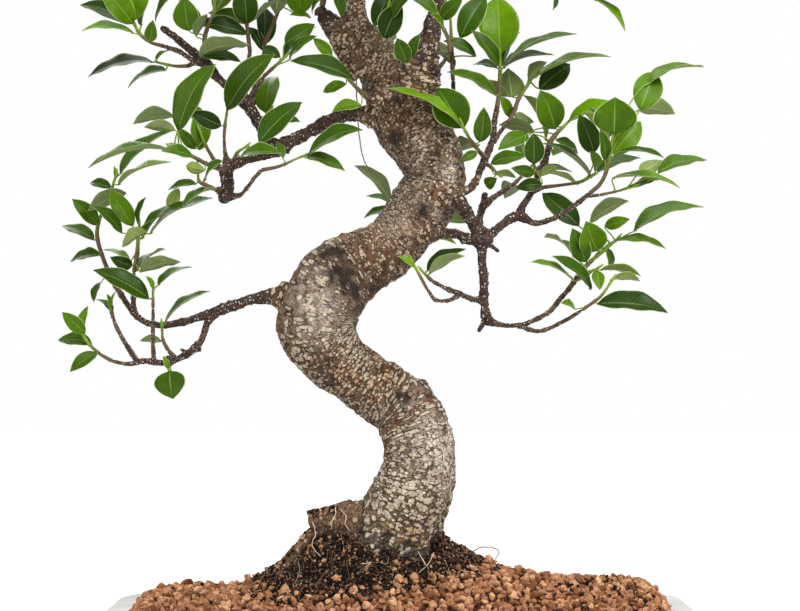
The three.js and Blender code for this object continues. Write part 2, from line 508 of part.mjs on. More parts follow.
// Leafy shoots: [name, route, how many of its points are brown twig, leaves grown by rule, traced
// leaves]. Each traced leaf is [blade base across, down, tip across, down, width seen, how far the
// tip lies behind the stem in millimetres, age from 0 old to 1 young, 1 for the upper side seen or
// -1 for the underside].
const shoots = [
  ['spray_low_left_end', [[300, 300, -6, 30], [283, 297, -8, 20], [268, 297, -10, 14],
    [250, 300, -14, 10], [220, 310, -20, 11], [200, 317, -23, 8], [168, 325, -29, 7], [145, 322, -31, 6],
    [130, 308, -28, 6], [113, 282, -22, 5], [103, 258, -16, 4], [97, 235, -14, 4], [101, 215, -16, 3],
    [110, 194, -18, 3], [115, 178, -18, 2]], 10, 0,
  [[120, 174, 172, 131, 17, 14, 0.3, 1], [118, 185, 171, 162, 6, -24, 0.8, 1],
    [111, 188, 90, 183, 11, 16, 0.1, 1], [126, 193, 88, 211, 14, -22, 0.2, -1],
    [101, 282, 94, 302, 9, -16, 0.3, 1], [94, 240, 62, 226, 12, 18, 0.3, 1],
    [98, 225, 72, 199, 16, -14, 0.4, 1], [100, 255, 70, 262, 12, 24, 0.2, 1],
    [115, 180, 114, 166, 4, 2, 1, 1]]],
  ['spray_low_left_upright', [[138, 318, -30, 6], [134, 308, -34, 5], [133, 290, -37, 5],
    [134, 272, -40, 4], [137, 255, -42, 4], [138, 240, -44, 3], [139, 228, -44, 2]], 4, 0,
  [[137, 271, 165, 249, 7, 16, 0.4, 1], [140, 272, 181, 262, 11, -24, 0.3, -1],
    [132, 266, 110, 257, 14, -20, 0.1, 1], [129, 262, 103, 250, 5, 20, 0.8, 1],
    [142, 239, 178, 203, 11, 18, 0.3, 1], [150, 234, 213, 198, 12, -26, 0.3, 1],
    [146, 231, 122, 247, 9, -34, 0.5, -1], [133, 226, 110, 190, 19, 10, 0.7, 1],
    [139, 226, 146, 197, 8, -14, 0.2, 1], [122, 233, 92, 206, 11, -16, 0.3, 1],
    [168, 209, 179, 188, 13, -6, 0.7, -1]]],
  ['spray_low_left_front', [[154, 364, -53, 5], [153, 345, -57, 4], [153, 328, -58, 4],
    [153, 308, -58, 3], [153, 290, -57, 2]], 4, 0,
  [[149, 299, 93, 270, 19, -14, 0.2, 1], [158, 285, 192, 267, 8, 18, 0.4, 1],
    [153, 289, 146, 276, 5, -8, 0.9, 1]]],
  ['spray_low_left_middle', [[177, 360, -46, 6], [168, 350, -50, 4], [163, 340, -52, 3],
    [162, 328, -53, 2]], 2, 0,
  [[164, 324, 210, 291, 8, -12, 0.3, 1], [161, 341, 140, 341, 8, 12, 0.3, -1]]],
  ['spray_low_left_hanging', [[168, 358, -48, 6], [168, 364, -55, 4], [170, 372, -61, 3]], 2, 0,
  [[170, 371, 173, 399, 31, -10, 0.3, 1], [168, 368, 163, 356, 6, -8, 1, 1]]],
  ['spray_low_left_rim', [[220, 310, -20, 8], [208, 322, -25, 7], [203, 337, -30, 6], [196, 347, -36, 6],
    [182, 357, -42, 6], [165, 363, -50, 6], [145, 361, -56, 6], [128, 364, -60, 4], [112, 361, -62, 4],
    [100, 354, -64, 3], [90, 345, -66, 3], [82, 334, -66, 2]], 9, 0,
  [[97, 353, 70, 372, 14, -16, 0.3, 1], [92, 344, 58, 340, 14, 14, 0.3, 1],
    [85, 333, 62, 312, 15, -10, 0.5, 1], [83, 330, 88, 306, 10, 12, 0.8, 1]]],
  ['spray_low_left_bud', [[137, 361, -58, 6], [127, 346, -62, 5], [119, 332, -62, 4], [113, 318, -60, 4],
    [110, 306, -58, 2]], 4, 0,
  [[110, 308, 107, 294, 4, -6, 1, 1], [111, 312, 116, 291, 5, 10, 0.8, 1],
    [112, 313, 96, 299, 5, 14, 0.6, 1]]],
  ['spray_mid_left_bright', [[228, 172, -57, 8], [220, 169, -62, 5], [211, 166, -66, 4],
    [203, 162, -69, 4], [192, 156, -72, 3], [182, 151, -74, 3], [174, 148, -74, 2]], 3, 0,
  [[178, 131, 216, 64, 29, -4, 0.8, 1], [175, 117, 133, 124, 11, 20, 0.3, -1],
    [175, 130, 144, 127, 10, -18, 0.3, -1], [170, 150, 88, 168, 9, -20, 0.4, 1],
    [193, 157, 161, 151, 13, -26, 0.4, 1], [205, 170, 186, 166, 12, -20, 0.8, -1],
    [176, 149, 166, 144, 5, 16, 0.5, 1]]],
  ['spray_mid_left_behind', [[226, 176, -52, 8], [214, 160, -40, 4], [206, 146, -34, 3],
    [200, 132, -32, 2]], 2, 0,
  [[199, 150, 200, 108, 20, 14, 0.6, 1], [195, 149, 179, 128, 12, -8, 0.4, 1],
    [204, 130, 178, 104, 14, 26, 0.3, 1]]],
  ['spray_mid_left_low', [[224, 192, -58, 8], [214, 189, -63, 4], [206, 185, -66, 4], [199, 181, -68, 3],
    [198, 170, -69, 2]], 2, 0,
  [[216, 189, 182, 207, 9, -30, 0.2, 1], [205, 180, 223, 161, 10, -24, 0.4, 1],
    [196, 184, 168, 190, 9, 22, 0.4, 1]]],
  ['spray_mid_left_right', [[229, 196, -58, 8], [240, 195, -60, 4], [247, 188, -62, 4],
    [255, 177, -65, 4], [262, 170, -67, 4], [280, 166, -69, 3], [298, 158, -70, 2], [308, 154, -70, 2]],
    5, 0,
  [[309, 153, 363, 130, 18, -22, 0.2, 1], [304, 157, 345, 171, 13, -14, 0.4, 1],
    [283, 158, 277, 142, 8, 12, 0.4, 1]]],
  ['spray_mid_left_fork', [[231, 166, -55, 8], [234, 159, -59, 4], [238, 152, -62, 3], [244, 148, -64, 2]],
    2, 0,
  [[259, 143, 302, 102, 25, 10, 0.1, 1], [240, 157, 281, 153, 14, -28, 0.4, 1]]],
  ['spray_upper_left_inner', [[228, 166, -54, 8], [225, 152, -50, 4], [224, 138, -48, 3],
    [225, 125, -46, 3], [227, 112, -44, 2]], 3, 0,
  [[227, 110, 275, 54, 30, -18, 0.3, 1], [221, 126, 190, 112, 17, -16, 0.1, 1]]],
  ['spray_upper_left_side', [[256, 121, -24, 8], [261, 120, -18, 4], [265, 117, -14, 3],
    [269, 112, -11, 2]], 2, 0,
  [[266, 113, 273, 76, 27, 12, 0.6, 1], [272, 118, 300, 122, 12, 22, 0.4, 1]]],
  ['spray_far_left_top', [[216, 76, 6, 7], [203, 66, 4, 5], [195, 62, 4, 5], [180, 52, 8, 5],
    [163, 46, 14, 4], [150, 42, 18, 3], [139, 33, 22, 3], [134, 22, 26, 2]], 5, 0,
  [[127, 24, 80, 5, 21, 18, 0.1, 1], [133, 24, 99, -20, 25, -24, 0.7, 1],
    [132, 22, 133, -30, 36, 8, 0.8, 1], [141, 26, 162, -15, 9, 22, 0.2, 1],
    [134, 33, 82, 31, 12, -16, 0.7, 1], [150, 41, 153, 20, 14, -20, 0.5, 1]]],
  ['spray_far_left_low', [[200, 60, 20, 7], [188, 66, 32, 4], [175, 66, 44, 3], [160, 63, 54, 2]], 2, 0,
  [[153, 62, 88, 77, 17, -12, 0.1, 1], [156, 60, 171, 50, 6, 14, 0.4, 1],
    [166, 70, 128, 88, 12, 30, 0.3, 1]]],
  ['spray_left_shoulder', [[204, 62, 16, 8], [204, 50, 6, 4], [205, 36, 0, 4], [209, 24, -4, 3],
    [214, 10, -6, 3], [214, -12, -6, 2]], 2, 4,
  [[189, 31, 184, -3, 27, -10, 0.5, 1], [180, -10, 155, 22, 10, 16, 0.1, 1],
    [196, 36, 207, 14, 7, -26, 0.3, -1], [199, 55, 250, 45, 10, -34, 0.3, -1],
    [203, 57, 241, 62, 14, 22, 0.1, 1]]],
  ['spray_left_crown', [[242, 100, -12, 8], [246, 76, 4, 5], [250, 52, 16, 4], [248, 35, 20, 4],
    [246, 18, 22, 3], [244, 0, 24, 3], [246, -18, 26, 2]], 3, 4,
  [[247, 24, 243, -20, 27, -22, 0.1, 1], [246, 24, 208, 13, 16, 12, 0.1, 1],
    [247, 34, 195, 24, 20, -14, 0.1, 1]]],
  ['spray_inner_crown', [[250, 104, -15, 8], [256, 84, 4, 5], [263, 62, 28, 4], [264, 45, 38, 4],
    [272, 26, 44, 4], [281, 4, 46, 3], [288, -18, 46, 3], [292, -38, 46, 2]], 4, 5,
  [[264, 45, 263, 6, 21, 20, 0.1, 1], [262, 50, 249, 27, 12, -18, 0.1, 1],
    [300, 14, 298, -20, 28, -14, 0.9, 1], [310, 18, 290, 15, 9, -22, 0.8, 1]]],
  ['spray_inner_low', [[249, 105, -16, 7], [256, 90, -22, 4], [264, 76, -30, 4], [274, 67, -36, 3],
    [284, 58, -40, 2]], 3, 0,
  [[285, 43, 315, 24, 20, -12, 0.3, 1], [284, 56, 316, 27, 12, 14, 0.1, 1],
    [289, 60, 317, 36, 12, -26, 0.4, 1], [280, 57, 263, 47, 13, 10, 0.1, 1]]],
  ['spray_trunk_left', [[388, 104, -10, 16], [368, 98, -26, 6], [357, 88, -34, 4], [346, 76, -38, 3],
    [336, 62, -40, 2]], 2, 0,
  [[353, 80, 290, 61, 21, -22, 0.2, 1], [346, 84, 323, 92, 12, 16, 0.8, 1],
    [361, 105, 332, 112, 13, -16, 0.7, 1], [332, 56, 313, 38, 12, -8, 0.7, 1]]],
  ['spray_stub', [[321, 16, -12, 10], [322, 6, -14, 6], [325, -6, -15, 4], [328, -24, -16, 3],
    [328, -42, -16, 2]], 2, 5,
  [[331, -12, 341, 18, 12, -20, 0.1, 1], [324, -6, 312, 14, 8, 16, 0.4, 1]]],
  ['spray_trunk_front', [[372, 62, -6, 20], [375, 50, -22, 5], [378, 38, -30, 4], [384, 24, -34, 3],
    [388, 8, -36, 2]], 2, 0,
  [[374, 26, 392, -10, 22, 10, 0.1, 1], [384, 38, 401, 2, 25, -12, 0.1, 1],
    [392, 18, 412, -6, 13, -22, 0.3, 1]]],
  ['spray_trunk_right', [[425, 56, -12, 18], [416, 62, -30, 5], [410, 60, -36, 4], [404, 54, -40, 2]], 2, 0,
  [[407, 62, 397, 38, 18, -8, 0.2, 1], [412, 56, 420, 34, 11, -18, 0.3, 1]]],
  ['spray_right_limb', [[424, 74, -12, 22], [440, 66, -26, 5], [450, 52, -34, 4], [448, 38, -36, 4],
    [440, 22, -38, 3], [436, 10, -40, 2]], 3, 0,
  [[437, 14, 409, -4, 13, -10, 0.4, 1], [441, 19, 463, -2, 16, -20, 0.3, 1],
    [444, 30, 430, 14, 8, -24, 0.5, 1]]],
  ['spray_right_behind', [[432, 140, 8, 8], [448, 126, 16, 6], [454, 105, 20, 4], [453, 80, 22, 4],
    [452, 56, 22, 4], [451, 30, 20, 3], [450, 6, 18, 2]], 4, 0,
  [[476, 56, 443, 41, 14, -12, 0.2, 1], [460, 38, 486, -4, 27, 14, 0.2, 1],
    [455, 66, 436, 52, 10, 18, 0.2, 1]]],
  ['spray_right_top', [[446, 200, -14, 20], [459, 193, -20, 9], [470, 188, -18, 8], [476, 180, -14, 7],
    [482, 166, -8, 7], [489, 150, 0, 7], [493, 138, 6, 6], [494, 124, 12, 6], [497, 108, 18, 5],
    [499, 94, 22, 4], [500, 80, 25, 4], [500, 66, 27, 3], [500, 56, 28, 2]], 9, 0,
  [[500, 54, 498, -4, 43, 8, 0.9, 1], [498, 66, 471, 30, 17, -16, 0.3, 1],
    [502, 66, 520, 32, 11, 16, 0.3, 1], [497, 68, 473, 65, 10, 22, 0.1, 1],
    [503, 68, 554, 55, 12, 26, 0.1, 1], [504, 66, 577, 34, 10, -24, 0.4, 1],
    [497, 96, 447, 72, 15, -14, 0.4, 1], [501, 97, 511, 118, 12, 18, 0.7, 1]]],
  ['spray_right_upper', [[494, 142, 4, 5], [500, 132, 10, 4], [508, 123, 18, 4], [514, 112, 24, 4],
    [519, 98, 30, 4], [527, 86, 34, 3], [534, 76, 36, 2]], 3, 0,
  [[534, 78, 611, 57, 10, -14, 0.6, 1], [539, 89, 570, 64, 25, 16, 0.1, 1],
    [528, 80, 547, 62, 12, 26, 0.3, -1], [512, 97, 508, 68, 30, -12, 0.4, -1],
    [508, 96, 474, 82, 12, -26, 0.5, -1], [515, 116, 534, 122, 14, 22, 0.3, -1]]],
  ['spray_right_inner', [[486, 159, -4, 6], [479, 151, -14, 4], [472, 142, -20, 3], [467, 134, -25, 3],
    [463, 126, -28, 2]], 2, 0,
  [[466, 132, 386, 88, 13, -12, 0.9, 1], [464, 128, 438, 88, 38, 18, 0.3, 1],
    [475, 144, 455, 152, 12, 24, 0.3, -1], [480, 142, 484, 107, 19, -16, 0.3, 1],
    [477, 152, 460, 162, 10, 10, 0.4, 1]]],
  ['spray_right_middle', [[484, 163, -7, 6], [490, 166, -16, 4], [493, 169, -22, 3], [498, 174, -26, 2]],
    2, 0,
  [[491, 163, 526, 156, 15, -14, 0.3, 1], [486, 186, 497, 178, 13, -16, 0.2, 1],
    [494, 174, 516, 178, 6, 14, 0.6, -1]]],
  ['spray_right_fan', [[543, 168, 5, 6], [547, 154, 12, 6], [549, 144, 16, 5], [555, 135, 20, 4],
    [562, 128, 24, 3], [570, 120, 28, 2]], 3, 0,
  [[555, 129, 540, 90, 30, -16, 0.5, 1], [569, 121, 616, 104, 16, -14, 0.9, 1],
    [546, 141, 523, 95, 7, 18, 0.7, -1], [534, 132, 499, 125, 13, 22, 0.3, -1],
    [528, 135, 498, 150, 18, -24, 0.5, 1], [524, 137, 524, 158, 9, -32, 1, 1],
    [556, 140, 578, 154, 12, 22, 0.3, 1], [553, 155, 576, 150, 9, 30, 0.5, 1]]],
  ['spray_right_olive', [[536, 182, -3, 6], [537, 174, -14, 4], [535, 168, -20, 3], [533, 160, -24, 2]],
    2, 0,
  [[534, 164, 534, 133, 22, -6, 0.2, 1], [534, 173, 511, 168, 13, -16, 0.3, 1],
    [542, 184, 516, 188, 14, 16, 0.2, 1], [541, 176, 556, 166, 9, -22, 0.6, -1]]],
  ['spray_right_dark', [[483, 206, 12, 6], [493, 198, 20, 5], [503, 191, 28, 5], [513, 185, 34, 4],
    [522, 176, 40, 3], [530, 168, 45, 2]], 4, 3, []],
  ['spray_far_right_top', [[521, 216, -23, 8], [535, 223, -25, 6], [549, 220, -28, 5],
    [564, 213, -31, 5], [579, 202, -35, 5], [590, 193, -38, 4], [600, 184, -41, 4], [607, 170, -44, 3],
    [610, 152, -47, 3], [613, 136, -50, 2]], 6, 0,
  [[614, 134, 615, 97, 45, -8, 0.4, 1], [613, 154, 641, 122, 27, 12, 0.7, 1],
    [640, 110, 655, 72, 30, 22, 0.6, 1], [650, 82, 704, 67, 11, 34, 0.5, 1],
    [642, 109, 675, 114, 14, 36, 0.3, -1], [609, 142, 583, 112, 8, 18, 0.7, -1],
    [618, 152, 664, 158, 8, -18, 0.2, 1], [605, 160, 600, 130, 13, -18, 0.3, 1],
    [608, 138, 588, 108, 11, 34, 0.2, 1]]],
  ['spray_far_right_inner', [[533, 190, -7, 6], [545, 187, 2, 4], [562, 185, 8, 3], [580, 182, 12, 3],
    [592, 176, 14, 2]], 2, 0,
  [[592, 178, 541, 143, 8, -12, 0.2, 1], [594, 153, 579, 114, 23, -20, 0.2, 1],
    [596, 171, 590, 151, 13, -30, 0.6, 1], [597, 172, 641, 158, 13, 16, 0.3, 1]]],
  ['spray_far_right_low', [[586, 196, -37, 4], [600, 195, -40, 3], [618, 191, -42, 2], [632, 187, -43, 2]],
    2, 0,
  [[612, 178, 680, 188, 9, -14, 0.8, 1], [636, 187, 659, 180, 8, 12, 0.5, 1],
    [640, 172, 662, 160, 16, 20, 0.5, -1], [658, 173, 707, 160, 15, 26, 0.5, 1]]],
  ['spray_right_low_end', [[487, 320, -43, 8], [501, 325, -44, 5], [521, 325, -44, 5],
    [532, 321, -43, 5], [549, 312, -40, 5], [560, 299, -36, 5], [571, 286, -32, 5], [580, 273, -28, 5],
    [588, 264, -25, 4], [598, 255, -21, 3.5], [607, 248, -18, 3], [616, 240, -16, 2]], 8, 0,
  [[586, 262, 572, 228, 21, -14, 0.3, 1], [597, 251, 586, 221, 30, -24, 0.6, 1],
    [579, 226, 542, 193, 24, 22, 0.2, 1], [590, 222, 629, 201, 15, 12, 0.3, -1],
    [605, 226, 630, 219, 13, -18, 0.7, 1], [614, 241, 666, 249, 10, -12, 0.5, 1],
    [634, 231, 704, 207, 15, 16, 0.5, 1], [606, 248, 611, 271, 9, 16, 0.5, 1]]],
  ['spray_right_low_under', [[577, 279, -30, 5], [584, 276, -34, 4], [590, 272, -37, 3],
    [596, 269, -39, 2]], 2, 0,
  [[591, 290, 552, 256, 14, 10, 0.1, 1], [596, 271, 600, 290, 13, -14, 0.6, 1],
    [600, 270, 641, 276, 7, 14, 0.7, -1], [574, 281, 531, 262, 7, -24, 0.7, 1],
    [574, 257, 544, 237, 7, 26, 0.6, 1]]],
  ['spray_right_low_shoot', [[518, 326, -44, 5], [540, 331, -49, 4], [564, 321, -52, 4],
    [582, 310, -54, 3], [600, 297, -56, 3], [611, 282, -57, 2]], 4, 0,
  [[597, 304, 668, 313, 21, -10, 0.1, 1], [611, 279, 640, 281, 8, 18, 0.7, -1],
    [575, 309, 561, 303, 8, 16, 0.6, 1]]],
  ['spray_right_low_left', [[483, 300, -41, 7], [472, 299, -44, 5], [460, 294, -47, 6],
    [445, 288, -51, 4], [432, 281, -54, 4], [424, 273, -56, 2]], 5, 0,
  [[427, 271, 466, 249, 12, 14, 0.1, 1], [429, 274, 465, 256, 10, -12, 0.3, -1]]],
  ['spray_right_low_front', [[460, 294, -47, 5], [450, 300, -50, 4], [436, 300, -55, 4],
    [427, 289, -59, 3], [419, 274, -62, 3], [413, 263, -64, 2]], 4, 0,
  [[415, 268, 398, 256, 6, -6, 0.9, 1]]],
  ['spray_back_middle', [[412, 222, 12, 20], [408, 216, 46, 7], [402, 212, 74, 5], [398, 209, 98, 4],
    [396, 208, 118, 3]], 3, 3,
  [[398, 206, 366, 196, 9, 10, 0.4, 1], [396, 210, 364, 218, 9, -14, 0.3, 1],
    [396, 226, 366, 229, 9, 26, 0.3, 1], [410, 232, 456, 244, 11, -6, 0.8, -1],
    [420, 222, 488, 230, 16, 20, 0.4, 1]]],
  ['spray_back_top', [[402, 92, 4, 22], [400, 76, 48, 8], [397, 62, 88, 6], [394, 52, 116, 4],
    [391, 44, 138, 2]], 3, 7, []],
  ['spray_right_edge', [[446, -20, 2, 12], [478, -44, 8, 7], [512, -50, 6, 6], [545, -44, 2, 5],
    [566, -34, -2, 4], [582, -20, -6, 3], [592, -6, -8, 2]], 4, 7,
  [[594, -1, 625, 31, 11, -8, 0.9, 1], [548, -28, 553, 10, 7, -18, 0.2, 1]]],
  ['spray_crown_left', [[353, -6, 0, 18], [330, -28, 8, 9], [300, -46, 16, 7], [268, -58, 22, 5],
    [246, -66, 26, 4], [224, -70, 30, 3], [204, -68, 32, 2]], 4, 10, []],
  ['spray_crown_left_back', [[354, -14, 6, 18], [336, -34, 38, 8], [312, -50, 72, 6], [294, -62, 94, 4],
    [276, -70, 112, 3], [262, -74, 126, 2]], 3, 8, []],
  ['spray_crown_left_front', [[358, -34, -4, 16], [336, -60, -40, 7], [314, -80, -70, 5],
    [300, -90, -90, 4], [286, -98, -108, 2]], 3, 7, []],
  ['spray_crown_right_front', [[364, -50, -4, 14], [396, -70, -44, 7], [420, -82, -78, 5],
    [436, -90, -98, 4], [450, -96, -116, 2]], 3, 8, []],
  ['spray_crown_back', [[373, -64, 4, 12], [386, -80, 46, 6], [394, -90, 84, 5], [398, -96, 108, 4],
    [402, -100, 130, 2]], 3, 7, []],
  ['spray_crown_top_left', [[378, -84, 0, 11], [352, -102, -10, 6], [334, -112, -16, 4],
    [316, -119, -20, 2]], 2, 8, []],
  ['spray_crown_top', [[374, -112, 0, 9], [373, -126, 2, 6], [377, -138, 4, 4], [382, -148, 4, 2]
    ], 2, 7, []],
  ['spray_crown_top_right', [[462, -72, 14, 7], [464, -88, 16, 6], [461, -100, 16, 4], [456, -112, 14, 2]
    ], 2, 7, []],
  ['spray_crown_right_back', [[448, -30, 4, 11], [478, -46, 48, 7], [508, -54, 84, 5],
    [528, -60, 104, 4], [546, -64, 124, 2]], 3, 8, []],
];

function shootParts([name, route, brown, count, traced]) {
  const stations = places(route);
  const frames = framesAlong(stations);
  return { name, route, brown, count, traced, frames, stem: stations.slice(brown - 1) };
}

const plans = shoots.map(shootParts);
const barkBody = [foot(0), ...limbs.map((route) => limb(route, sidesFor(places(route))))];
takeRoute(places(trunkRoute), 'trunk', room.trunk);
limbs.forEach((route) => takeRoute(places(route), 'trunk', room.limb));
for (const plan of plans) {
  takeRoute(plan.frames.slice(0, plan.brown), 'trunk', room.twig);
  takeRoute(plan.frames.slice(plan.brown - 1), plan.name, room.stem);
  const twig = plan.frames.slice(0, plan.brown);
  barkBody.push(loft(twig.map((frame) => ring(frame, sidesFor(twig), frame.radius))));
}

// Traced leaves keep their place in the picture and are moved in depth until they are clear.
for (const plan of plans) {
  plan.leaves = [];
  const used = [];
  for (const traced of plan.traced) {
    for (const trial of depthTrials) {
      const candidate = tracedLeaf(plan.stem, traced, trial, used);
      const balls = leafBalls(candidate, plan.name);
      if (isClear(balls, plan.name, false)) {
        taken.push(...balls);
        plan.leaves.push(candidate);
        used.push(candidate.attach);
        break;
      }
    }
  }
}

// Grown leaves are turned round their shoot until they are clear, and none hangs into the traced part.
for (const plan of plans) {
  const green = plan.frames.slice(plan.brown - 1);
  for (let index = 0; index < plan.count; index += 1) {
    for (const turn of turnTrials) {
      const size = Math.abs(turn) > grown.wideTurn ? grown.smaller : 1;
      const candidate = grownLeaf(green, index, plan.count, turn, size);
      const balls = leafBalls(candidate, plan.name);
      const edge = place(eye.across, 0, candidate.tip.y).z;
      const hangs = plan.route[plan.route.length - 1][1] < 0 && candidate.tip.z < edge;
      if (!hangs && isClear(balls, plan.name, true)) {
        taken.push(...balls);
        plan.leaves.push(candidate);
        break;
      }
    }
  }
}

// The green stem stands a seat's gap above its brown twig, on the same section.
for (const plan of plans) {
  const green = plan.frames.slice(plan.brown - 1);
  const rings = green.map((frame, index) => ring(frame, 3, 1.15 * frame.radius, index === 0 ? seat : 0));
  const body = joinAll([loft(rings), ...plan.leaves.map(leafSolid)]);
  const ages = plan.traced.map((traced) => traced[6]);
  const age = ages.length ? ages.reduce((sum, each) => sum + each) / ages.length : 0;
  const tint = new THREE.Color(colour.oldLeaf).lerp(new THREE.Color(colour.youngLeaf), age);
  addPiece(plan.name, body, tint, 0.35);
}
const trunk = joinAll(barkBody);
addPiece('trunk', trunk, colour.bark, 0.8);

const footHole = foot(seat);
let akadama = bedBody().subtract(moundBody(seat)).subtract(footHole);
for (const x of [-drain.x, drain.x]) akadama = akadama.subtract(screenAt(x, seat));
const rootBall = moundBody(0).subtract(footHole);
const pot = trayBody();
addPiece('root_ball', rootBall, colour.peat, 1);
addPiece('akadama_bed', akadama, colour.akadama, 1);
addPiece('pot', pot, colour.stone, 0.85);
addPiece('drain_screen_left', screenAt(-drain.x, 0), colour.screen, 0.6);
addPiece('drain_screen_right', screenAt(drain.x, 0), colour.screen, 0.6);

export default group;
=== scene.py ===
# Chinese banyan bonsai in a stone tray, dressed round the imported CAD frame.
# Lengths in the tables are millimetres; meshes are written in metres.
import bpy
import numpy as np
from math import acos, ceil, cos, floor, hypot, pi, radians, sin, sqrt
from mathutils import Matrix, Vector
from numpy.linalg import norm


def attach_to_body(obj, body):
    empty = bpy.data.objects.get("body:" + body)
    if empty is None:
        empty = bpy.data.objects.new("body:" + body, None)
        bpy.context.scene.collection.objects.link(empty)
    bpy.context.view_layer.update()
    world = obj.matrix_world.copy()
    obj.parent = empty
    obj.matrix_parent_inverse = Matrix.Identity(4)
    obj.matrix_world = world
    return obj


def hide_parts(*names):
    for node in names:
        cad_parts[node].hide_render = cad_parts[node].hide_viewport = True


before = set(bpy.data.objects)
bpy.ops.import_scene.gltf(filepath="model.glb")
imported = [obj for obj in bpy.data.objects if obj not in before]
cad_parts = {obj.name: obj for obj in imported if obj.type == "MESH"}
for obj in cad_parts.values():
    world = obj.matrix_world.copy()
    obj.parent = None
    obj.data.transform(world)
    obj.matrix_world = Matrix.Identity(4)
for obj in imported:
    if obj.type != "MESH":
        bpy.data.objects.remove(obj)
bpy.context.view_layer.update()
print("frame loaded:", len(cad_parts), "nodes")

# The routes below are read off one picture: [across, down, depth behind the trunk, width].
# Across, down and width are picture units, depth is millimetres, and this is how they become places.
eye = {"across": 400, "down": 305.5, "focal": 1755, "distance": 1500, "height": 299, "upDegrees": 1.811}
tilt = radians(eye["upDegrees"])
unitsPerMillimetre = eye["focal"] / eye["distance"]
metres = 0.001
curve = {"pointsPerStretch": 24, "leastRadius": 0.3}


def place(across, down, depth):
    # along the line of sight through a picture point, to where it crosses that depth
    forward = eye["focal"] * cos(tilt) - (eye["down"] - down) * sin(tilt)
    up = eye["focal"] * sin(tilt) + (eye["down"] - down) * cos(tilt)
    scale = (eye["distance"] + depth) / forward
    return np.array([(across - eye["across"]) * scale, depth, eye["height"] + up * scale])


def pictureOf(points):
    # the other way round: where millimetre points stand in the picture
    forward = points[..., 1] + eye["distance"]
    rise = points[..., 2] - eye["height"]
    depth = forward * cos(tilt) + rise * sin(tilt)
    up = rise * cos(tilt) - forward * sin(tilt)
    across = eye["across"] + eye["focal"] * points[..., 0] / depth
    return across, eye["down"] - eye["focal"] * up / depth


def placesOf(route):
    # rows of x, y, z and radius
    return np.array([[*place(across, down, depth), (width / 2) * (eye["distance"] + depth) / eye["focal"]]
                     for across, down, depth, width in route])


def unit(vectors):
    # each vector divided by its own length
    return vectors / np.maximum(norm(vectors, axis=-1, keepdims=True), 1e-9)


def circle(count):
    # this many angles, evenly round
    return np.arange(count) * (2 * pi / count)


def framesAlong(stations):
    # directions along a route, and two across it that are carried along without twisting
    before = stations[np.maximum(np.arange(len(stations)) - 1, 0), :3]
    after = stations[np.minimum(np.arange(len(stations)) + 1, len(stations) - 1), :3]
    along = unit(after - before)
    across = np.zeros_like(along)
    carried = np.array([0.0, 1.0, 0.0])
    for index, direction in enumerate(along):
        carried = carried - direction * carried.dot(direction)
        carried /= norm(carried)
        across[index] = carried
    return along, across, np.cross(along, across)


def smoothRoute(stations, step):
    # a Catmull-Rom curve through the stations, spaced evenly along its length; the last column says
    # how far along the stations each point is
    count = len(stations)
    padded = np.vstack([2 * stations[0] - stations[1], stations, 2 * stations[-1] - stations[-2]])
    t = np.linspace(0, 1, curve["pointsPerStretch"], endpoint=False)[:, None]
    pieces = []
    for index in range(count - 1):
        a, b, c, d = padded[index:index + 4]
        bent = 0.5 * (2 * b + (c - a) * t + (2 * a - 5 * b + 4 * c - d) * t ** 2
                      + (3 * b - a - 3 * c + d) * t ** 3)
        pieces.append(np.hstack([bent, index + t]))
    dense = np.vstack([*pieces, np.append(stations[-1], count - 1)[None]])
    length = np.concatenate([[0], np.cumsum(norm(np.diff(dense[:, :3], axis=0), axis=1))])
    even = np.linspace(0, length[-1], max(3, int(round(length[-1] / step))) + 1)
    route = np.column_stack([np.interp(even, length, dense[:, k]) for k in range(5)])
    route[:, 3] = np.maximum(route[:, 3], curve["leastRadius"])
    return route, even


def ripple(points, size, seed, waves=16):
    # a smooth random field in space: the sum of sine waves about one size long, from -1 to 1
    draw = np.random.default_rng(seed)
    directions = unit(draw.normal(size=(waves, 3)))
    lengths = size * draw.uniform(0.7, 1.5, waves)
    phases = draw.uniform(0, 2 * pi, waves)
    total = np.zeros(points.shape[:-1])
    for direction, length, phase in zip(directions, lengths, phases):
        total += np.sin(points @ direction * (2 * pi / length) + phase)
    return total * sqrt(2 / waves) * 0.6


def smoothStep(low, high, values):
    # 0 below low and 1 above high, with a soft start and end between them
    t = np.clip((values - low) / (high - low), 0, 1)
    return t * t * (3 - 2 * t)


def wallFaces(rings, around):
    # quads between rings of points that close round
    ring = np.arange(rings - 1)[:, None] * around
    side = np.arange(around)
    beyond = (side + 1) % around
    quads = np.stack([ring + side, ring + beyond, ring + around + beyond, ring + around + side], -1)
    return quads.reshape(-1, 4)


def fan(around, ring, pole, turned=False):
    # triangles between a ring and one point that closes it
    side = np.arange(around)
    beyond = (side + 1) % around
    edge = [beyond, side] if turned else [side, beyond]
    return np.stack([ring * around + edge[0], ring * around + edge[1], np.full(around, pole)], -1)


def tubeFaces(rings, around):
    # walls, and a fan at the start and at the end, whose poles come last
    pole = rings * around
    return [wallFaces(rings, around), fan(around, 0, pole, turned=True), fan(around, rings - 1, pole + 1)]


def domeFaces(rings, around):
    # the same for rings that go upward, with the top's pole before the bottom's
    pole = rings * around
    return [wallFaces(rings, around), fan(around, rings - 1, pole), fan(around, 0, pole + 1, turned=True)]


def tubeGrid(route, around, reach):
    # rings of points round a route, at the reach given for each ring or each point, and two end poles
    _, across, beside = framesAlong(route)
    angle = circle(around)[None, :, None]
    outward = across[:, None] * np.cos(angle) + beside[:, None] * np.sin(angle)
    grid = route[:, None, :3] + outward * reach.reshape(len(route), -1)[..., None]
    poles = np.stack([grid[0].mean(0), grid[-1].mean(0)])
    return np.vstack([grid.reshape(-1, 3), poles]), grid, outward


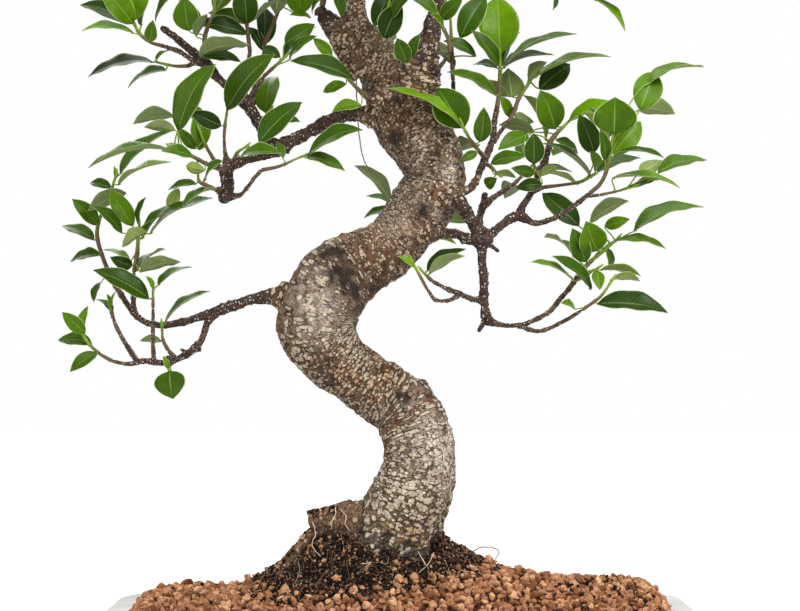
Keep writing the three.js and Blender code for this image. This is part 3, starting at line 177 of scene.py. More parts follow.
def addObject(name, data):
    # a mesh, lamp or camera, put into the scene
    added = bpy.data.objects.new(name, data)
    bpy.context.scene.collection.objects.link(added)
    return added


def addMesh(name, points, faces):
    # points in millimetres, and their faces, as one object
    mesh = bpy.data.meshes.new(name)
    mesh.from_pydata((points * metres).tolist(), [], faces)
    return addObject(name, mesh)


class Shell:
    # points and faces of one piece, gathered from many surfaces, with named values on the points
    def __init__(self):
        self.points = []
        self.faces = []
        self.values = {}
        self.count = 0

    def add(self, points, faces, **values):
        # a surface joins the piece; a value it isn't given is 0 on its points
        flat = points.reshape(-1, 3)
        for name in {**self.values, **values}:
            held = self.values.setdefault(name, [np.zeros(self.count)])
            given = np.asarray(values.get(name, 0), float)
            held.append(np.broadcast_to(given.reshape(-1) if given.ndim else given, (len(flat),)))
        self.faces += [np.asarray(part) + self.count for part in faces]
        self.points.append(flat)
        self.count += len(flat)

    def tube(self, route, around, reach, **values):
        # rings round the route at their reach, closed at both ends
        self.add(tubeGrid(route, around, reach)[0], tubeFaces(len(route), around), **values)

    def piece(self, name, material, slot, replaced=(), uv=None, smooth=True):
        # all the surfaces as one object, with their values as attributes and u, v as a UV map
        faces = [row for part in self.faces for row in part.tolist()]
        piece = addMesh(name, np.vstack(self.points), faces)
        mesh = piece.data
        mesh.polygons.foreach_set("use_smooth", np.full(len(faces), smooth))
        for key, parts in self.values.items():
            if key not in ("u", "v"):
                layer = mesh.attributes.new(key, "FLOAT", "POINT")
                layer.data.foreach_set("value", np.concatenate(parts).astype(np.float32))
        if uv:
            corner = np.zeros(len(mesh.loops), np.int32)
            mesh.loops.foreach_get("vertex_index", corner)
            pairs = np.column_stack([np.concatenate(self.values[key]) for key in ("u", "v")])
            layer = mesh.uv_layers.new(name=uv)
            layer.data.foreach_set("uv", pairs[corner].astype(np.float32).ravel())
        mesh.materials.append(material)
        mesh.validate()
        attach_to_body(piece, "root")
        if replaced:
            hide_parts(*replaced)
        return piece


def atEnds(values, around, ends=None):
    # a tube's values, one for each ring, given to all its points and to the two poles
    return np.append(np.repeat(values, around), values[[0, -1]] if ends is None else ends)


# The middle line of the trunk, from under the soil to the tip of the crown.
trunkRoute = [
    [398, 628, 0, 84], [398, 592, 0, 92], [398, 560, 0, 92], [396, 540, -2, 90], [402, 515, -4, 86],
    [414, 487, -6, 78], [420, 460, -6, 71], [417, 436, -2, 70], [404, 410, 3, 66], [383, 394, 6, 61],
    [362, 380, 6, 58], [339, 361, 4, 62], [323, 341, 0, 74], [318, 320, -4, 80], [323, 300, -6, 77],
    [338, 279, -6, 76], [359, 265, -4, 65], [385, 249, 0, 60], [406, 228, 2, 58], [424, 204, 2, 60],
    [435, 178, 0, 57], [428, 152, -3, 62], [408, 126, -3, 64], [398, 103, 0, 60], [384, 73, 2, 51],
    [370, 52, 3, 45], [359, 33, 3, 37], [355, 16, 2, 28], [353, 0, 0, 26], [354, -20, 0, 24],
    [362, -45, 0, 21], [374, -70, 2, 18], [378, -94, 2, 13], [373, -118, 0, 8],
]

# The log-like root at the left of the trunk's foot and the one that runs down under it.
roots = [
    [[392, 535, 0, 44], [355, 522, -6, 32], [330, 520, -10, 26], [308, 521, -12, 19]],
    [[372, 540, -8, 30], [335, 528, -8, 20], [312, 534, -10, 12], [298, 548, -14, 11], [287, 561, -18, 10],
     [279, 571, -22, 9], [274, 578, -24, 7]],
]

# Brown limbs, from inside what they grow from to their cut or bare end.
limbs = [
    [[404, 118, -4, 34], [415, 90, -8, 30], [424, 60, -12, 27], [430, 35, -12, 19], [436, 14, -8, 16],
     [440, 0, -5, 14], [446, -25, 2, 12], [455, -55, 10, 9], [462, -76, 14, 7]],
    [[368, 70, 0, 26], [352, 50, -4, 22], [336, 30, -8, 18], [321, 12, -12, 15]],
    [[392, 116, -2, 26], [366, 115, -6, 16], [350, 114, -10, 13], [327, 122, -18, 13], [310, 132, -25, 12],
     [290, 142, -32, 12], [265, 155, -42, 8], [250, 159, -48, 8], [236, 163, -53, 11], [228, 168, -56, 13],
     [227, 180, -57, 13], [226, 192, -58, 13], [222, 203, -60, 11]],
    [[282, 150, -36, 12], [272, 144, -34, 11], [262, 130, -28, 10], [257, 120, -24, 10],
     [250, 108, -17, 12], [242, 101, -12, 11], [232, 90, -5, 8], [218, 78, 4, 8], [206, 62, 16, 9],
     [190, 50, 26, 8], [175, 37, 34, 7], [161, 27, 40, 6]],
    [[436, 196, -8, 26], [456, 200, -24, 15], [466, 212, -30, 12], [476, 228, -34, 11],
     [483, 240, -37, 11]],
    [[424, 232, -10, 18], [445, 233, -23, 10], [456, 234, -30, 9], [468, 239, -35, 10], [484, 240, -37, 11],
     [489, 235, -34, 9], [501, 226, -30, 8], [511, 218, -26, 9], [519, 215, -23, 9], [523, 206, -18, 7],
     [530, 195, -10, 6], [536, 180, -2, 6], [543, 165, 6, 6]],
    [[483, 240, -37, 8], [479, 224, -10, 7], [481, 212, 6, 7], [484, 203, 15, 7], [485, 193, 22, 6]],
    [[484, 242, -37, 5], [493, 247, -39, 4], [499, 252, -41, 4]],
    [[487, 318, -43, 5], [478, 332, -46, 4]],
    [[482, 236, -36, 10], [482, 260, -38, 8], [484, 281, -40, 9], [484, 304, -42, 8], [487, 320, -43, 8]],
    [[200, 349, -36, 5], [188, 352, -44, 4], [180, 349, -48, 3]],
]

# Leafy shoots: name, how many points of the route are brown twig, leaves grown by rule, route, traced
# leaves. Each traced leaf is [blade base across, down, tip across, down, width seen, how far the tip
# lies behind the stem in millimetres, age from 0 old to 1 young], with -1 after that where its
# underside is seen.
shoots = [
    ["low_left_end", 10, 0, [[300, 300, -6, 30], [283, 297, -8, 20], [268, 297, -10, 14],
      [250, 300, -14, 10], [220, 310, -20, 11], [200, 317, -23, 8], [168, 325, -29, 7], [145, 322, -31, 6],
      [130, 308, -28, 6], [113, 282, -22, 5], [103, 258, -16, 4], [97, 235, -14, 4], [101, 215, -16, 3],
      [110, 194, -18, 3], [115, 178, -18, 2]],
     [[120, 174, 172, 131, 17, 14, 0.3], [118, 185, 171, 162, 6, -24, 0.8],
      [111, 188, 90, 183, 11, 16, 0.1], [126, 193, 88, 211, 14, -22, 0.2, -1],
      [101, 282, 94, 302, 9, -16, 0.3], [94, 240, 62, 226, 12, 18, 0.3], [98, 225, 72, 199, 16, -14, 0.4],
      [100, 255, 70, 262, 12, 24, 0.2], [115, 180, 114, 166, 4, 2, 1]]],
    ["low_left_upright", 4, 0, [[138, 318, -30, 6], [134, 308, -34, 5], [133, 290, -37, 5],
      [134, 272, -40, 4], [137, 255, -42, 4], [138, 240, -44, 3], [139, 228, -44, 2]],
     [[137, 271, 165, 249, 7, 16, 0.4], [140, 272, 181, 262, 11, -24, 0.3, -1],
      [132, 266, 110, 257, 14, -20, 0.1], [129, 262, 103, 250, 5, 20, 0.8],
      [142, 239, 178, 203, 11, 18, 0.3], [150, 234, 213, 198, 12, -26, 0.3],
      [146, 231, 122, 247, 9, -34, 0.5, -1], [133, 226, 110, 190, 19, 10, 0.7],
      [139, 226, 146, 197, 8, -14, 0.2], [122, 233, 92, 206, 11, -16, 0.3],
      [168, 209, 179, 188, 13, -6, 0.7, -1]]],
    ["low_left_front", 4, 0, [[154, 364, -53, 5], [153, 345, -57, 4], [153, 328, -58, 4],
      [153, 308, -58, 3], [153, 290, -57, 2]],
     [[149, 299, 93, 270, 19, -14, 0.2], [158, 285, 192, 267, 8, 18, 0.4],
      [153, 289, 146, 276, 5, -8, 0.9]]],
    ["low_left_middle", 2, 0, [[177, 360, -46, 6], [168, 350, -50, 4], [163, 340, -52, 3],
      [162, 328, -53, 2]],
     [[164, 324, 210, 291, 8, -12, 0.3], [161, 341, 140, 341, 8, 12, 0.3, -1]]],
    ["low_left_hanging", 2, 0, [[168, 358, -48, 6], [168, 364, -55, 4], [170, 372, -61, 3]],
     [[170, 371, 173, 399, 31, -10, 0.3], [168, 368, 163, 356, 6, -8, 1]]],
    ["low_left_rim", 9, 0, [[220, 310, -20, 8], [208, 322, -25, 7], [203, 337, -30, 6], [196, 347, -36, 6],
      [182, 357, -42, 6], [165, 363, -50, 6], [145, 361, -56, 6], [128, 364, -60, 4], [112, 361, -62, 4],
      [100, 354, -64, 3], [90, 345, -66, 3], [82, 334, -66, 2]],
     [[97, 353, 70, 372, 14, -16, 0.3], [92, 344, 58, 340, 14, 14, 0.3], [85, 333, 62, 312, 15, -10, 0.5],
      [83, 330, 88, 306, 10, 12, 0.8]]],
    ["low_left_bud", 4, 0, [[137, 361, -58, 6], [127, 346, -62, 5], [119, 332, -62, 4], [113, 318, -60, 4],
      [110, 306, -58, 2]],
     [[110, 308, 107, 294, 4, -6, 1], [111, 312, 116, 291, 5, 10, 0.8], [112, 313, 96, 299, 5, 14, 0.6]]],
    ["mid_left_bright", 3, 0, [[228, 172, -57, 8], [220, 169, -62, 5], [211, 166, -66, 4],
      [203, 162, -69, 4], [192, 156, -72, 3], [182, 151, -74, 3], [174, 148, -74, 2]],
     [[178, 131, 216, 64, 29, -4, 0.35], [175, 117, 133, 124, 11, 20, 0.3, -1],
      [175, 130, 144, 127, 10, -18, 0.3, -1], [170, 150, 88, 168, 9, -20, 0.4],
      [193, 157, 161, 151, 13, -26, 0.4], [205, 170, 186, 166, 12, -20, 0.8, -1],
      [176, 149, 166, 144, 5, 16, 0.5]]],
    ["mid_left_behind", 2, 0, [[226, 176, -52, 8], [214, 160, -40, 4], [206, 146, -34, 3],
      [200, 132, -32, 2]],
     [[199, 150, 200, 108, 20, 14, 0.6], [195, 149, 179, 128, 12, -8, 0.4],
      [204, 130, 178, 104, 14, 26, 0.3]]],
    ["mid_left_low", 2, 0, [[224, 192, -58, 8], [214, 189, -63, 4], [206, 185, -66, 4], [199, 181, -68, 3],
      [198, 170, -69, 2]],
     [[216, 189, 182, 207, 9, -30, 0.2], [205, 180, 223, 161, 10, -24, 0.4],
      [196, 184, 168, 190, 9, 22, 0.4]]],
    ["mid_left_right", 5, 0, [[229, 196, -58, 8], [240, 195, -60, 4], [247, 188, -62, 4],
      [255, 177, -65, 4], [262, 170, -67, 4], [280, 166, -69, 3], [298, 158, -70, 2], [308, 154, -70, 2]],
     [[309, 153, 363, 130, 18, -22, 0.2], [304, 157, 345, 171, 13, -14, 0.4],
      [283, 158, 277, 142, 8, 12, 0.4]]],
    ["mid_left_fork", 2, 0, [[231, 166, -55, 8], [234, 159, -59, 4], [238, 152, -62, 3],
      [244, 148, -64, 2]],
     [[259, 143, 302, 102, 25, 10, 0.1], [240, 157, 281, 153, 14, -28, 0.4]]],
    ["upper_left_inner", 3, 0, [[228, 166, -54, 8], [225, 152, -50, 4], [224, 138, -48, 3],
      [225, 125, -46, 3], [227, 112, -44, 2]],
     [[227, 110, 275, 54, 30, -18, 0.3], [221, 126, 190, 112, 17, -16, 0.1]]],
    ["upper_left_side", 2, 0, [[256, 121, -24, 8], [261, 120, -18, 4], [265, 117, -14, 3],
      [269, 112, -11, 2]],
     [[266, 113, 273, 76, 27, 12, 0.6], [272, 118, 300, 122, 12, 22, 0.4]]],
    ["far_left_top", 5, 0, [[216, 76, 6, 7], [203, 66, 4, 5], [195, 62, 4, 5], [180, 52, 8, 5],
      [163, 46, 14, 4], [150, 42, 18, 3], [139, 33, 22, 3], [134, 22, 26, 2]],
     [[127, 24, 80, 5, 21, 18, 0.1], [133, 24, 99, -20, 25, -24, 0.7], [132, 22, 133, -30, 36, 8, 0.8],
      [141, 26, 162, -15, 9, 22, 0.2], [134, 33, 82, 31, 12, -16, 0.7], [150, 41, 153, 20, 14, -20, 0.5]]],
    ["far_left_low", 2, 0, [[200, 60, 20, 7], [188, 66, 32, 4], [175, 66, 44, 3], [160, 63, 54, 2]],
     [[153, 62, 88, 77, 17, -12, 0.1], [156, 60, 171, 50, 6, 14, 0.4], [166, 70, 128, 88, 12, 30, 0.3]]],
    ["left_shoulder", 2, 4, [[204, 62, 16, 8], [204, 50, 6, 4], [205, 36, 0, 4], [209, 24, -4, 3],
      [214, 10, -6, 3], [214, -12, -6, 2]],
     [[189, 31, 184, -3, 27, -10, 0.5], [180, -10, 155, 22, 10, 16, 0.1],
      [196, 36, 207, 14, 7, -26, 0.3, -1], [199, 55, 250, 45, 10, -34, 0.3, -1],
      [203, 57, 241, 62, 14, 22, 0.1]]],
    ["left_crown", 3, 4, [[242, 100, -12, 8], [246, 76, 4, 5], [250, 52, 16, 4], [248, 35, 20, 4],
      [246, 18, 22, 3], [244, 0, 24, 3], [246, -18, 26, 2]],
     [[247, 24, 243, -20, 27, -22, 0.1], [246, 24, 208, 13, 16, 12, 0.1],
      [247, 34, 195, 24, 20, -14, 0.1]]],
    ["inner_crown", 4, 5, [[250, 104, -15, 8], [256, 84, 4, 5], [263, 62, 28, 4], [264, 45, 38, 4],
      [272, 26, 44, 4], [281, 4, 46, 3], [288, -18, 46, 3], [292, -38, 46, 2]],
     [[264, 45, 263, 6, 21, 20, 0.1], [262, 50, 249, 27, 12, -18, 0.1], [300, 14, 298, -20, 28, -14, 0.9],
      [310, 18, 290, 15, 9, -22, 0.8]]],
    ["inner_low", 3, 0, [[249, 105, -16, 7], [256, 90, -22, 4], [264, 76, -30, 4], [274, 67, -36, 3],
      [284, 58, -40, 2]],
     [[285, 43, 315, 24, 20, -12, 0.3], [284, 56, 316, 27, 12, 14, 0.1], [289, 60, 317, 36, 12, -26, 0.4],
      [280, 57, 263, 47, 13, 10, 0.1]]],
    ["trunk_left", 2, 0, [[388, 104, -10, 16], [368, 98, -26, 6], [357, 88, -34, 4], [346, 76, -38, 3],
      [336, 62, -40, 2]],
     [[353, 80, 290, 61, 21, -22, 0.2], [346, 84, 323, 92, 12, 16, 0.8], [361, 105, 332, 112, 13, -16, 0.7],
      [332, 56, 313, 38, 12, -8, 0.7]]],
    ["stub", 2, 5, [[321, 16, -12, 10], [322, 6, -14, 6], [325, -6, -15, 4], [328, -24, -16, 3],
      [328, -42, -16, 2]],
     [[331, -12, 341, 18, 12, -20, 0.1], [324, -6, 312, 14, 8, 16, 0.4]]],
    ["trunk_front", 2, 0, [[372, 62, -6, 20], [375, 50, -22, 5], [378, 38, -30, 4], [384, 24, -34, 3],
      [388, 8, -36, 2]],
     [[374, 26, 392, -10, 22, 10, 0.1], [384, 38, 401, 2, 25, -12, 0.1], [392, 18, 412, -6, 13, -22, 0.3]]],
    ["trunk_right", 2, 0, [[425, 56, -12, 18], [416, 62, -30, 5], [410, 60, -36, 4], [404, 54, -40, 2]],
     [[407, 62, 397, 38, 18, -8, 0.2], [412, 56, 420, 34, 11, -18, 0.3]]],
    ["right_limb", 3, 0, [[424, 74, -12, 22], [440, 66, -26, 5], [450, 52, -34, 4], [448, 38, -36, 4],
      [440, 22, -38, 3], [436, 10, -40, 2]],
     [[437, 14, 409, -4, 13, -10, 0.4], [441, 19, 463, -2, 16, -20, 0.3], [444, 30, 430, 14, 8, -24, 0.5]]],
    ["right_behind", 4, 0, [[432, 140, 8, 8], [448, 126, 16, 6], [454, 105, 20, 4], [453, 80, 22, 4],
      [452, 56, 22, 4], [451, 30, 20, 3], [450, 6, 18, 2]],
     [[476, 56, 443, 41, 14, -12, 0.2], [460, 38, 486, -4, 27, 14, 0.2], [455, 66, 436, 52, 10, 18, 0.2]]],
    ["right_top", 9, 0, [[446, 200, -14, 20], [459, 193, -20, 9], [470, 188, -18, 8], [476, 180, -14, 7],
      [482, 166, -8, 7], [489, 150, 0, 7], [493, 138, 6, 6], [494, 124, 12, 6], [497, 108, 18, 5],
      [499, 94, 22, 4], [500, 80, 25, 4], [500, 66, 27, 3], [500, 56, 28, 2]],
     [[500, 54, 498, -4, 43, 8, 0.9], [498, 66, 471, 30, 17, -16, 0.3], [502, 66, 520, 32, 11, 16, 0.3],
      [497, 68, 473, 65, 10, 22, 0.1], [503, 68, 554, 55, 12, 26, 0.1], [504, 66, 577, 34, 10, -24, 0.4],
      [497, 96, 447, 72, 15, -14, 0.4], [501, 97, 511, 118, 12, 18, 0.7]]],
    ["right_upper", 3, 0, [[494, 142, 4, 5], [500, 132, 10, 4], [508, 123, 18, 4], [514, 112, 24, 4],
      [519, 98, 30, 4], [527, 86, 34, 3], [534, 76, 36, 2]],
     [[534, 78, 611, 57, 10, -14, 0.6], [539, 89, 570, 64, 25, 16, 0.1],
      [528, 80, 547, 62, 12, 26, 0.3, -1], [512, 97, 508, 68, 30, -12, 0.4, -1],
      [508, 96, 474, 82, 12, -26, 0.5, -1], [515, 116, 534, 122, 14, 22, 0.3, -1]]],
    ["right_inner", 2, 0, [[486, 159, -4, 6], [479, 151, -14, 4], [472, 142, -20, 3], [467, 134, -25, 3],
      [463, 126, -28, 2]],
     [[466, 132, 386, 88, 13, -12, 0.9], [464, 128, 438, 88, 38, 18, 0.3],
      [475, 144, 455, 152, 12, 24, 0.3, -1], [480, 142, 484, 107, 19, -16, 0.3],
      [477, 152, 460, 162, 10, 10, 0.4]]],
    ["right_middle", 2, 0, [[484, 163, -7, 6], [490, 166, -16, 4], [493, 169, -22, 3], [498, 174, -26, 2]],
     [[491, 163, 526, 156, 15, -14, 0.3], [486, 186, 497, 178, 13, -16, 0.2],
      [494, 174, 516, 178, 6, 14, 0.6, -1]]],
    ["right_fan", 3, 0, [[543, 168, 5, 6], [547, 154, 12, 6], [549, 144, 16, 5], [555, 135, 20, 4],
      [562, 128, 24, 3], [570, 120, 28, 2]],
     [[555, 129, 540, 90, 30, -16, 0.5], [569, 121, 616, 104, 16, -14, 0.9],
      [546, 141, 523, 95, 7, 18, 0.7, -1], [534, 132, 499, 125, 13, 22, 0.3, -1],
      [528, 135, 498, 150, 18, -24, 0.5], [524, 137, 524, 158, 9, -32, 1],
      [556, 140, 578, 154, 12, 22, 0.3], [553, 155, 576, 150, 9, 30, 0.5]]],
    ["right_olive", 2, 0, [[536, 182, -3, 6], [537, 174, -14, 4], [535, 168, -20, 3], [533, 160, -24, 2]],
     [[534, 164, 534, 133, 22, -6, 0.2], [534, 173, 511, 168, 13, -16, 0.3],
      [542, 184, 516, 188, 14, 16, 0.2], [541, 176, 556, 166, 9, -22, 0.6, -1]]],
    ["right_dark", 4, 3, [[483, 206, 12, 6], [493, 198, 20, 5], [503, 191, 28, 5], [513, 185, 34, 4],
      [522, 176, 40, 3], [530, 168, 45, 2]], []],
    ["far_right_top", 6, 0, [[521, 216, -23, 8], [535, 223, -25, 6], [549, 220, -28, 5], [564, 213, -31, 5],
      [579, 202, -35, 5], [590, 193, -38, 4], [600, 184, -41, 4], [607, 170, -44, 3], [610, 152, -47, 3],
      [613, 136, -50, 2]],
     [[614, 134, 615, 97, 45, -8, 0.4], [613, 154, 641, 122, 27, 12, 0.7], [640, 110, 655, 72, 30, 22, 0.6],
      [650, 82, 704, 67, 11, 34, 0.5], [642, 109, 675, 114, 14, 36, 0.3, -1],
      [609, 142, 583, 112, 8, 18, 0.7, -1], [618, 152, 664, 158, 8, -18, 0.2],
      [605, 160, 600, 130, 13, -18, 0.3], [608, 138, 588, 108, 11, 34, 0.2]]],
    ["far_right_inner", 2, 0, [[533, 190, -7, 6], [545, 187, 2, 4], [562, 185, 8, 3], [580, 182, 12, 3],
      [592, 176, 14, 2]],
     [[592, 178, 541, 143, 8, -12, 0.2], [594, 153, 579, 114, 23, -20, 0.2],
      [596, 171, 590, 151, 13, -30, 0.6], [597, 172, 641, 158, 13, 16, 0.3]]],
    ["far_right_low", 2, 0, [[586, 196, -37, 4], [600, 195, -40, 3], [618, 191, -42, 2],
      [632, 187, -43, 2]],
     [[612, 178, 680, 188, 9, -14, 0.8], [636, 187, 659, 180, 8, 12, 0.5],
      [640, 172, 662, 160, 16, 20, 0.5, -1], [658, 173, 707, 160, 15, 26, 0.5]]],
    ["right_low_end", 8, 0, [[487, 320, -43, 8], [501, 325, -44, 5], [521, 325, -44, 5], [532, 321, -43, 5],
      [549, 312, -40, 5], [560, 299, -36, 5], [571, 286, -32, 5], [580, 273, -28, 5], [588, 264, -25, 4],
      [598, 255, -21, 3.5], [607, 248, -18, 3], [616, 240, -16, 2]],
     [[586, 262, 572, 228, 21, -14, 0.3], [597, 251, 586, 221, 30, -24, 0.6],
      [579, 226, 542, 193, 24, 22, 0.2], [590, 222, 629, 201, 15, 12, 0.3, -1],
      [605, 226, 630, 219, 13, -18, 0.7], [614, 241, 666, 249, 10, -12, 0.5],
      [634, 231, 704, 207, 15, 16, 0.5], [606, 248, 611, 271, 9, 16, 0.5]]],
    ["right_low_under", 2, 0, [[577, 279, -30, 5], [584, 276, -34, 4], [590, 272, -37, 3],
      [596, 269, -39, 2]],
     [[591, 290, 552, 256, 14, 10, 0.1], [596, 271, 600, 290, 13, -14, 0.6],
      [600, 270, 641, 276, 7, 14, 0.7, -1], [574, 281, 531, 262, 7, -24, 0.7],
      [574, 257, 544, 237, 7, 26, 0.6]]],
    ["right_low_shoot", 4, 0, [[518, 326, -44, 5], [540, 331, -49, 4], [564, 321, -52, 4],
      [582, 310, -54, 3], [600, 297, -56, 3], [611, 282, -57, 2]],
     [[597, 304, 668, 313, 21, -10, 0.1], [611, 279, 640, 281, 8, 18, 0.7, -1],
      [575, 309, 561, 303, 8, 16, 0.6]]],
    ["right_low_left", 5, 0, [[483, 300, -41, 7], [472, 299, -44, 5], [460, 294, -47, 6],
      [445, 288, -51, 4], [432, 281, -54, 4], [424, 273, -56, 2]],
     [[427, 271, 466, 249, 12, 14, 0.1], [429, 274, 465, 256, 10, -12, 0.3, -1]]],
    ["right_low_front", 4, 0, [[460, 294, -47, 5], [450, 300, -50, 4], [436, 300, -55, 4],
      [427, 289, -59, 3], [419, 274, -62, 3], [413, 263, -64, 2]],
     [[415, 268, 398, 256, 6, -6, 0.9]]],
    ["back_middle", 3, 3, [[412, 222, 12, 20], [408, 216, 46, 7], [402, 212, 74, 5], [398, 209, 98, 4],
      [396, 208, 118, 3]],
     [[398, 206, 366, 196, 9, 10, 0.4], [396, 210, 364, 218, 9, -14, 0.3], [396, 226, 366, 229, 9, 26, 0.3],
      [410, 232, 456, 244, 11, -6, 0.8, -1], [420, 222, 488, 230, 16, 20, 0.4]]],
    ["back_top", 3, 7, [[402, 92, 4, 22], [400, 76, 48, 8], [397, 62, 88, 6], [394, 52, 116, 4],
      [391, 44, 138, 2]], []],
    ["right_edge", 4, 7, [[446, -20, 2, 12], [478, -44, 8, 7], [512, -50, 6, 6], [545, -44, 2, 5],
      [566, -34, -2, 4], [582, -20, -6, 3], [592, -6, -8, 2]],
     [[594, -1, 625, 31, 11, -8, 0.9], [548, -28, 553, 10, 7, -18, 0.2]]],
    ["crown_left", 4, 10, [[353, -6, 0, 18], [330, -28, 8, 9], [300, -46, 16, 7], [268, -58, 22, 5],
      [246, -66, 26, 4], [224, -70, 30, 3], [204, -68, 32, 2]], []],
    ["crown_left_back", 3, 8, [[354, -14, 6, 18], [336, -34, 38, 8], [312, -50, 72, 6], [294, -62, 94, 4],
      [276, -70, 112, 3], [262, -74, 126, 2]], []],
    ["crown_left_front", 3, 7, [[358, -34, -4, 16], [336, -60, -40, 7], [314, -80, -70, 5],
      [300, -90, -90, 4], [286, -98, -108, 2]], []],
    ["crown_right_front", 3, 8, [[364, -50, -4, 14], [396, -70, -44, 7], [420, -82, -78, 5],
      [436, -90, -98, 4], [450, -96, -116, 2]], []],
    ["crown_back", 3, 7, [[373, -64, 4, 12], [386, -80, 46, 6], [394, -90, 84, 5], [398, -96, 108, 4],
      [402, -100, 130, 2]], []],
    ["crown_top_left", 2, 8, [[378, -84, 0, 11], [352, -102, -10, 6], [334, -112, -16, 4],
      [316, -119, -20, 2]], []],
    ["crown_top", 2, 7, [[374, -112, 0, 9], [373, -126, 2, 6], [377, -138, 4, 4], [382, -148, 4, 2]], []],
    ["crown_top_right", 2, 7, [[462, -72, 14, 7], [464, -88, 16, 6], [461, -100, 16, 4],
      [456, -112, 14, 2]], []],
    ["crown_right_back", 3, 8, [[448, -30, 4, 11], [478, -46, 48, 7], [508, -54, 84, 5], [528, -60, 104, 4],
      [546, -64, 124, 2]], []],
]


class Signal:
    # what a shader node puts out; sums with it add Math nodes to the same tree
    def __init__(self, shading, socket):
        self.shading = shading
        self.socket = socket

    def of(self, name):
        # another output of the same node
        return Signal(self.shading, self.socket.node.outputs[name])

    def line(self, slope, start):
        # signal * slope + start
        return self.shading.math("MULTIPLY_ADD", self, slope, start)

    def __add__(self, other):
        return self.shading.math("ADD", self, other)

    def __sub__(self, other):
        return self.shading.math("SUBTRACT", self, other)

    def __rsub__(self, other):
        return self.shading.math("SUBTRACT", other, self)

    def __mul__(self, other):
        return self.shading.math("MULTIPLY", self, other)

    def __pow__(self, other):
        return self.shading.math("POWER", self, other)

    def __abs__(self):
        return self.shading.math("ABSOLUTE", self)


class Shading:
    # the node tree of a material or a group, with short ways to add nodes and join them
    def __init__(self, tree):
        self.tree = tree

    def fill(self, socket, value):
        # a socket gets a link, a colour without its alpha, or a plain value
        if isinstance(value, Signal):
            self.tree.links.new(value.socket, socket)
        elif socket.type == "RGBA" and len(value) == 3:
            socket.default_value = (*value, 1)
        else:
            socket.default_value = value

    def add(self, kind, values=None, output=0, **settings):
        # a shader node with its settings and inputs; what comes back is one of its outputs
        node = self.tree.nodes.new("ShaderNode" + kind)
        for key, value in settings.items():
            setattr(node, key, value)
        for key, value in (values or {}).items():
            self.fill(node.inputs[key], value)
        return Signal(self, node.outputs[output])

    def math(self, operation, *values, clamp=False):
        # one operation on numbers
        return self.add("Math", dict(enumerate(values)), operation=operation, use_clamp=clamp)

    def vector(self, operation, *values, output="Vector"):
        # one operation on vectors
        return self.add("VectorMath", dict(enumerate(values)), output, operation=operation)

    def attribute(self, name):
        # a value that the mesh holds on its points
        return self.add("Attribute", output="Fac", attribute_name=name)

    def place(self):
        # where a point is on its object, in metres
        return self.add("TexCoord", output="Object")

    def mix(self, amount, first, second):
        # from the first colour at 0 to the second at 1
        return self.add("Mix", {0: amount, 6: first, 7: second}, 2, data_type="RGBA")

    def ramp(self, source, low, high):
        # a smooth step from 0 at low to 1 at high
        return self.add("MapRange", {"Value": source, "From Min": low, "From Max": high}, "Result",
                        interpolation_type="SMOOTHSTEP")

    def cloud(self, vector, scale, detail, roughness, output="Fac"):
        # noise with this many features to a metre
        return self.add("TexNoise", {"Vector": vector, "Scale": scale, "Detail": detail,
                                     "Roughness": roughness}, output)

    def noise(self, sizeMm, detail=4, roughness=0.6, stretch=(1, 1, 1)):
        # noise whose features are about this many millimetres across
        mapped = self.add("Mapping", {"Vector": self.place(), "Scale": stretch})
        return self.cloud(mapped, 1000 / sizeMm, detail, roughness)

    def use(self, group, values):
        # a group placed as one node
        return self.add("Group", values, node_tree=group.tree)

    def mottled(self, colour, size, amount):
        # the colour, mottled by the group below
        return self.use(mottle, {"Colour": colour, "Size": size, "Amount": amount})


class Group(Shading):
    # a node group, whose inputs are named with their kind and first value, and its outputs with their kind
    def __init__(self, name, inputs, outputs):
        super().__init__(bpy.data.node_groups.new(name, "ShaderNodeTree"))
        sockets = self.tree.interface
        for label, (kind, value) in inputs.items():
            sockets.new_socket(label, in_out="INPUT", socket_type="NodeSocket" + kind).default_value = value
        for label, kind in outputs.items():
            sockets.new_socket(label, in_out="OUTPUT", socket_type="NodeSocket" + kind)
        given = self.tree.nodes.new("NodeGroupInput")
        self.given = {label: Signal(self, given.outputs[label]) for label in inputs}
        self.result = self.tree.nodes.new("NodeGroupOutput")

    def put(self, values):
        # what the group gives out
        for key, value in values.items():
            self.fill(self.result.inputs[key], value)


class Finish(Shading):
    # a material and its Principled shader
    def __init__(self, name, values):
        self.material = bpy.data.materials.new(name)
        self.material.use_nodes = True
        super().__init__(self.material.node_tree)
        self.surface(values)

    def surface(self, values):
        # values or signals for the Principled shader
        for key, value in values.items():
            self.fill(self.tree.nodes["Principled BSDF"].inputs[key], value)

    def bump(self, height, strength, depthMm):
        # a height of 1 stands this many millimetres proud
        self.surface({"Normal": self.add("Bump", {"Height": height, "Strength": strength,
                                                  "Distance": depthMm * metres})})


# Mottle: two sizes of noise shift a colour between a darker and a lighter self. Bark, soil, stone
# and grains all use it.
mottle = Group("mottle", {"Colour": ("Color", (0.5, 0.5, 0.5, 1)), "Size": ("Float", 10),
                          "Amount": ("Float", 0.5)}, {"Colour": "Color", "Mask": "Float"})
mottlePlace = mottle.place()
mottleScale = mottle.math("DIVIDE", 1000, mottle.given["Size"])
coarse = mottle.cloud(mottlePlace, mottleScale, 3, 0.6)
fine = mottle.cloud(mottlePlace, mottleScale * 5.3, 2, 0.7)
mottleMask = mottle.ramp(fine.line(0.4, coarse * 0.6), 0.36, 0.64)
gain = (mottleMask - 0.5).line(mottle.given["Amount"], 1)
scaled = mottle.add("VectorMath", {0: mottle.given["Colour"], "Scale": gain}, operation="SCALE")
mottle.put({"Colour": scaled, "Mask": mottleMask})


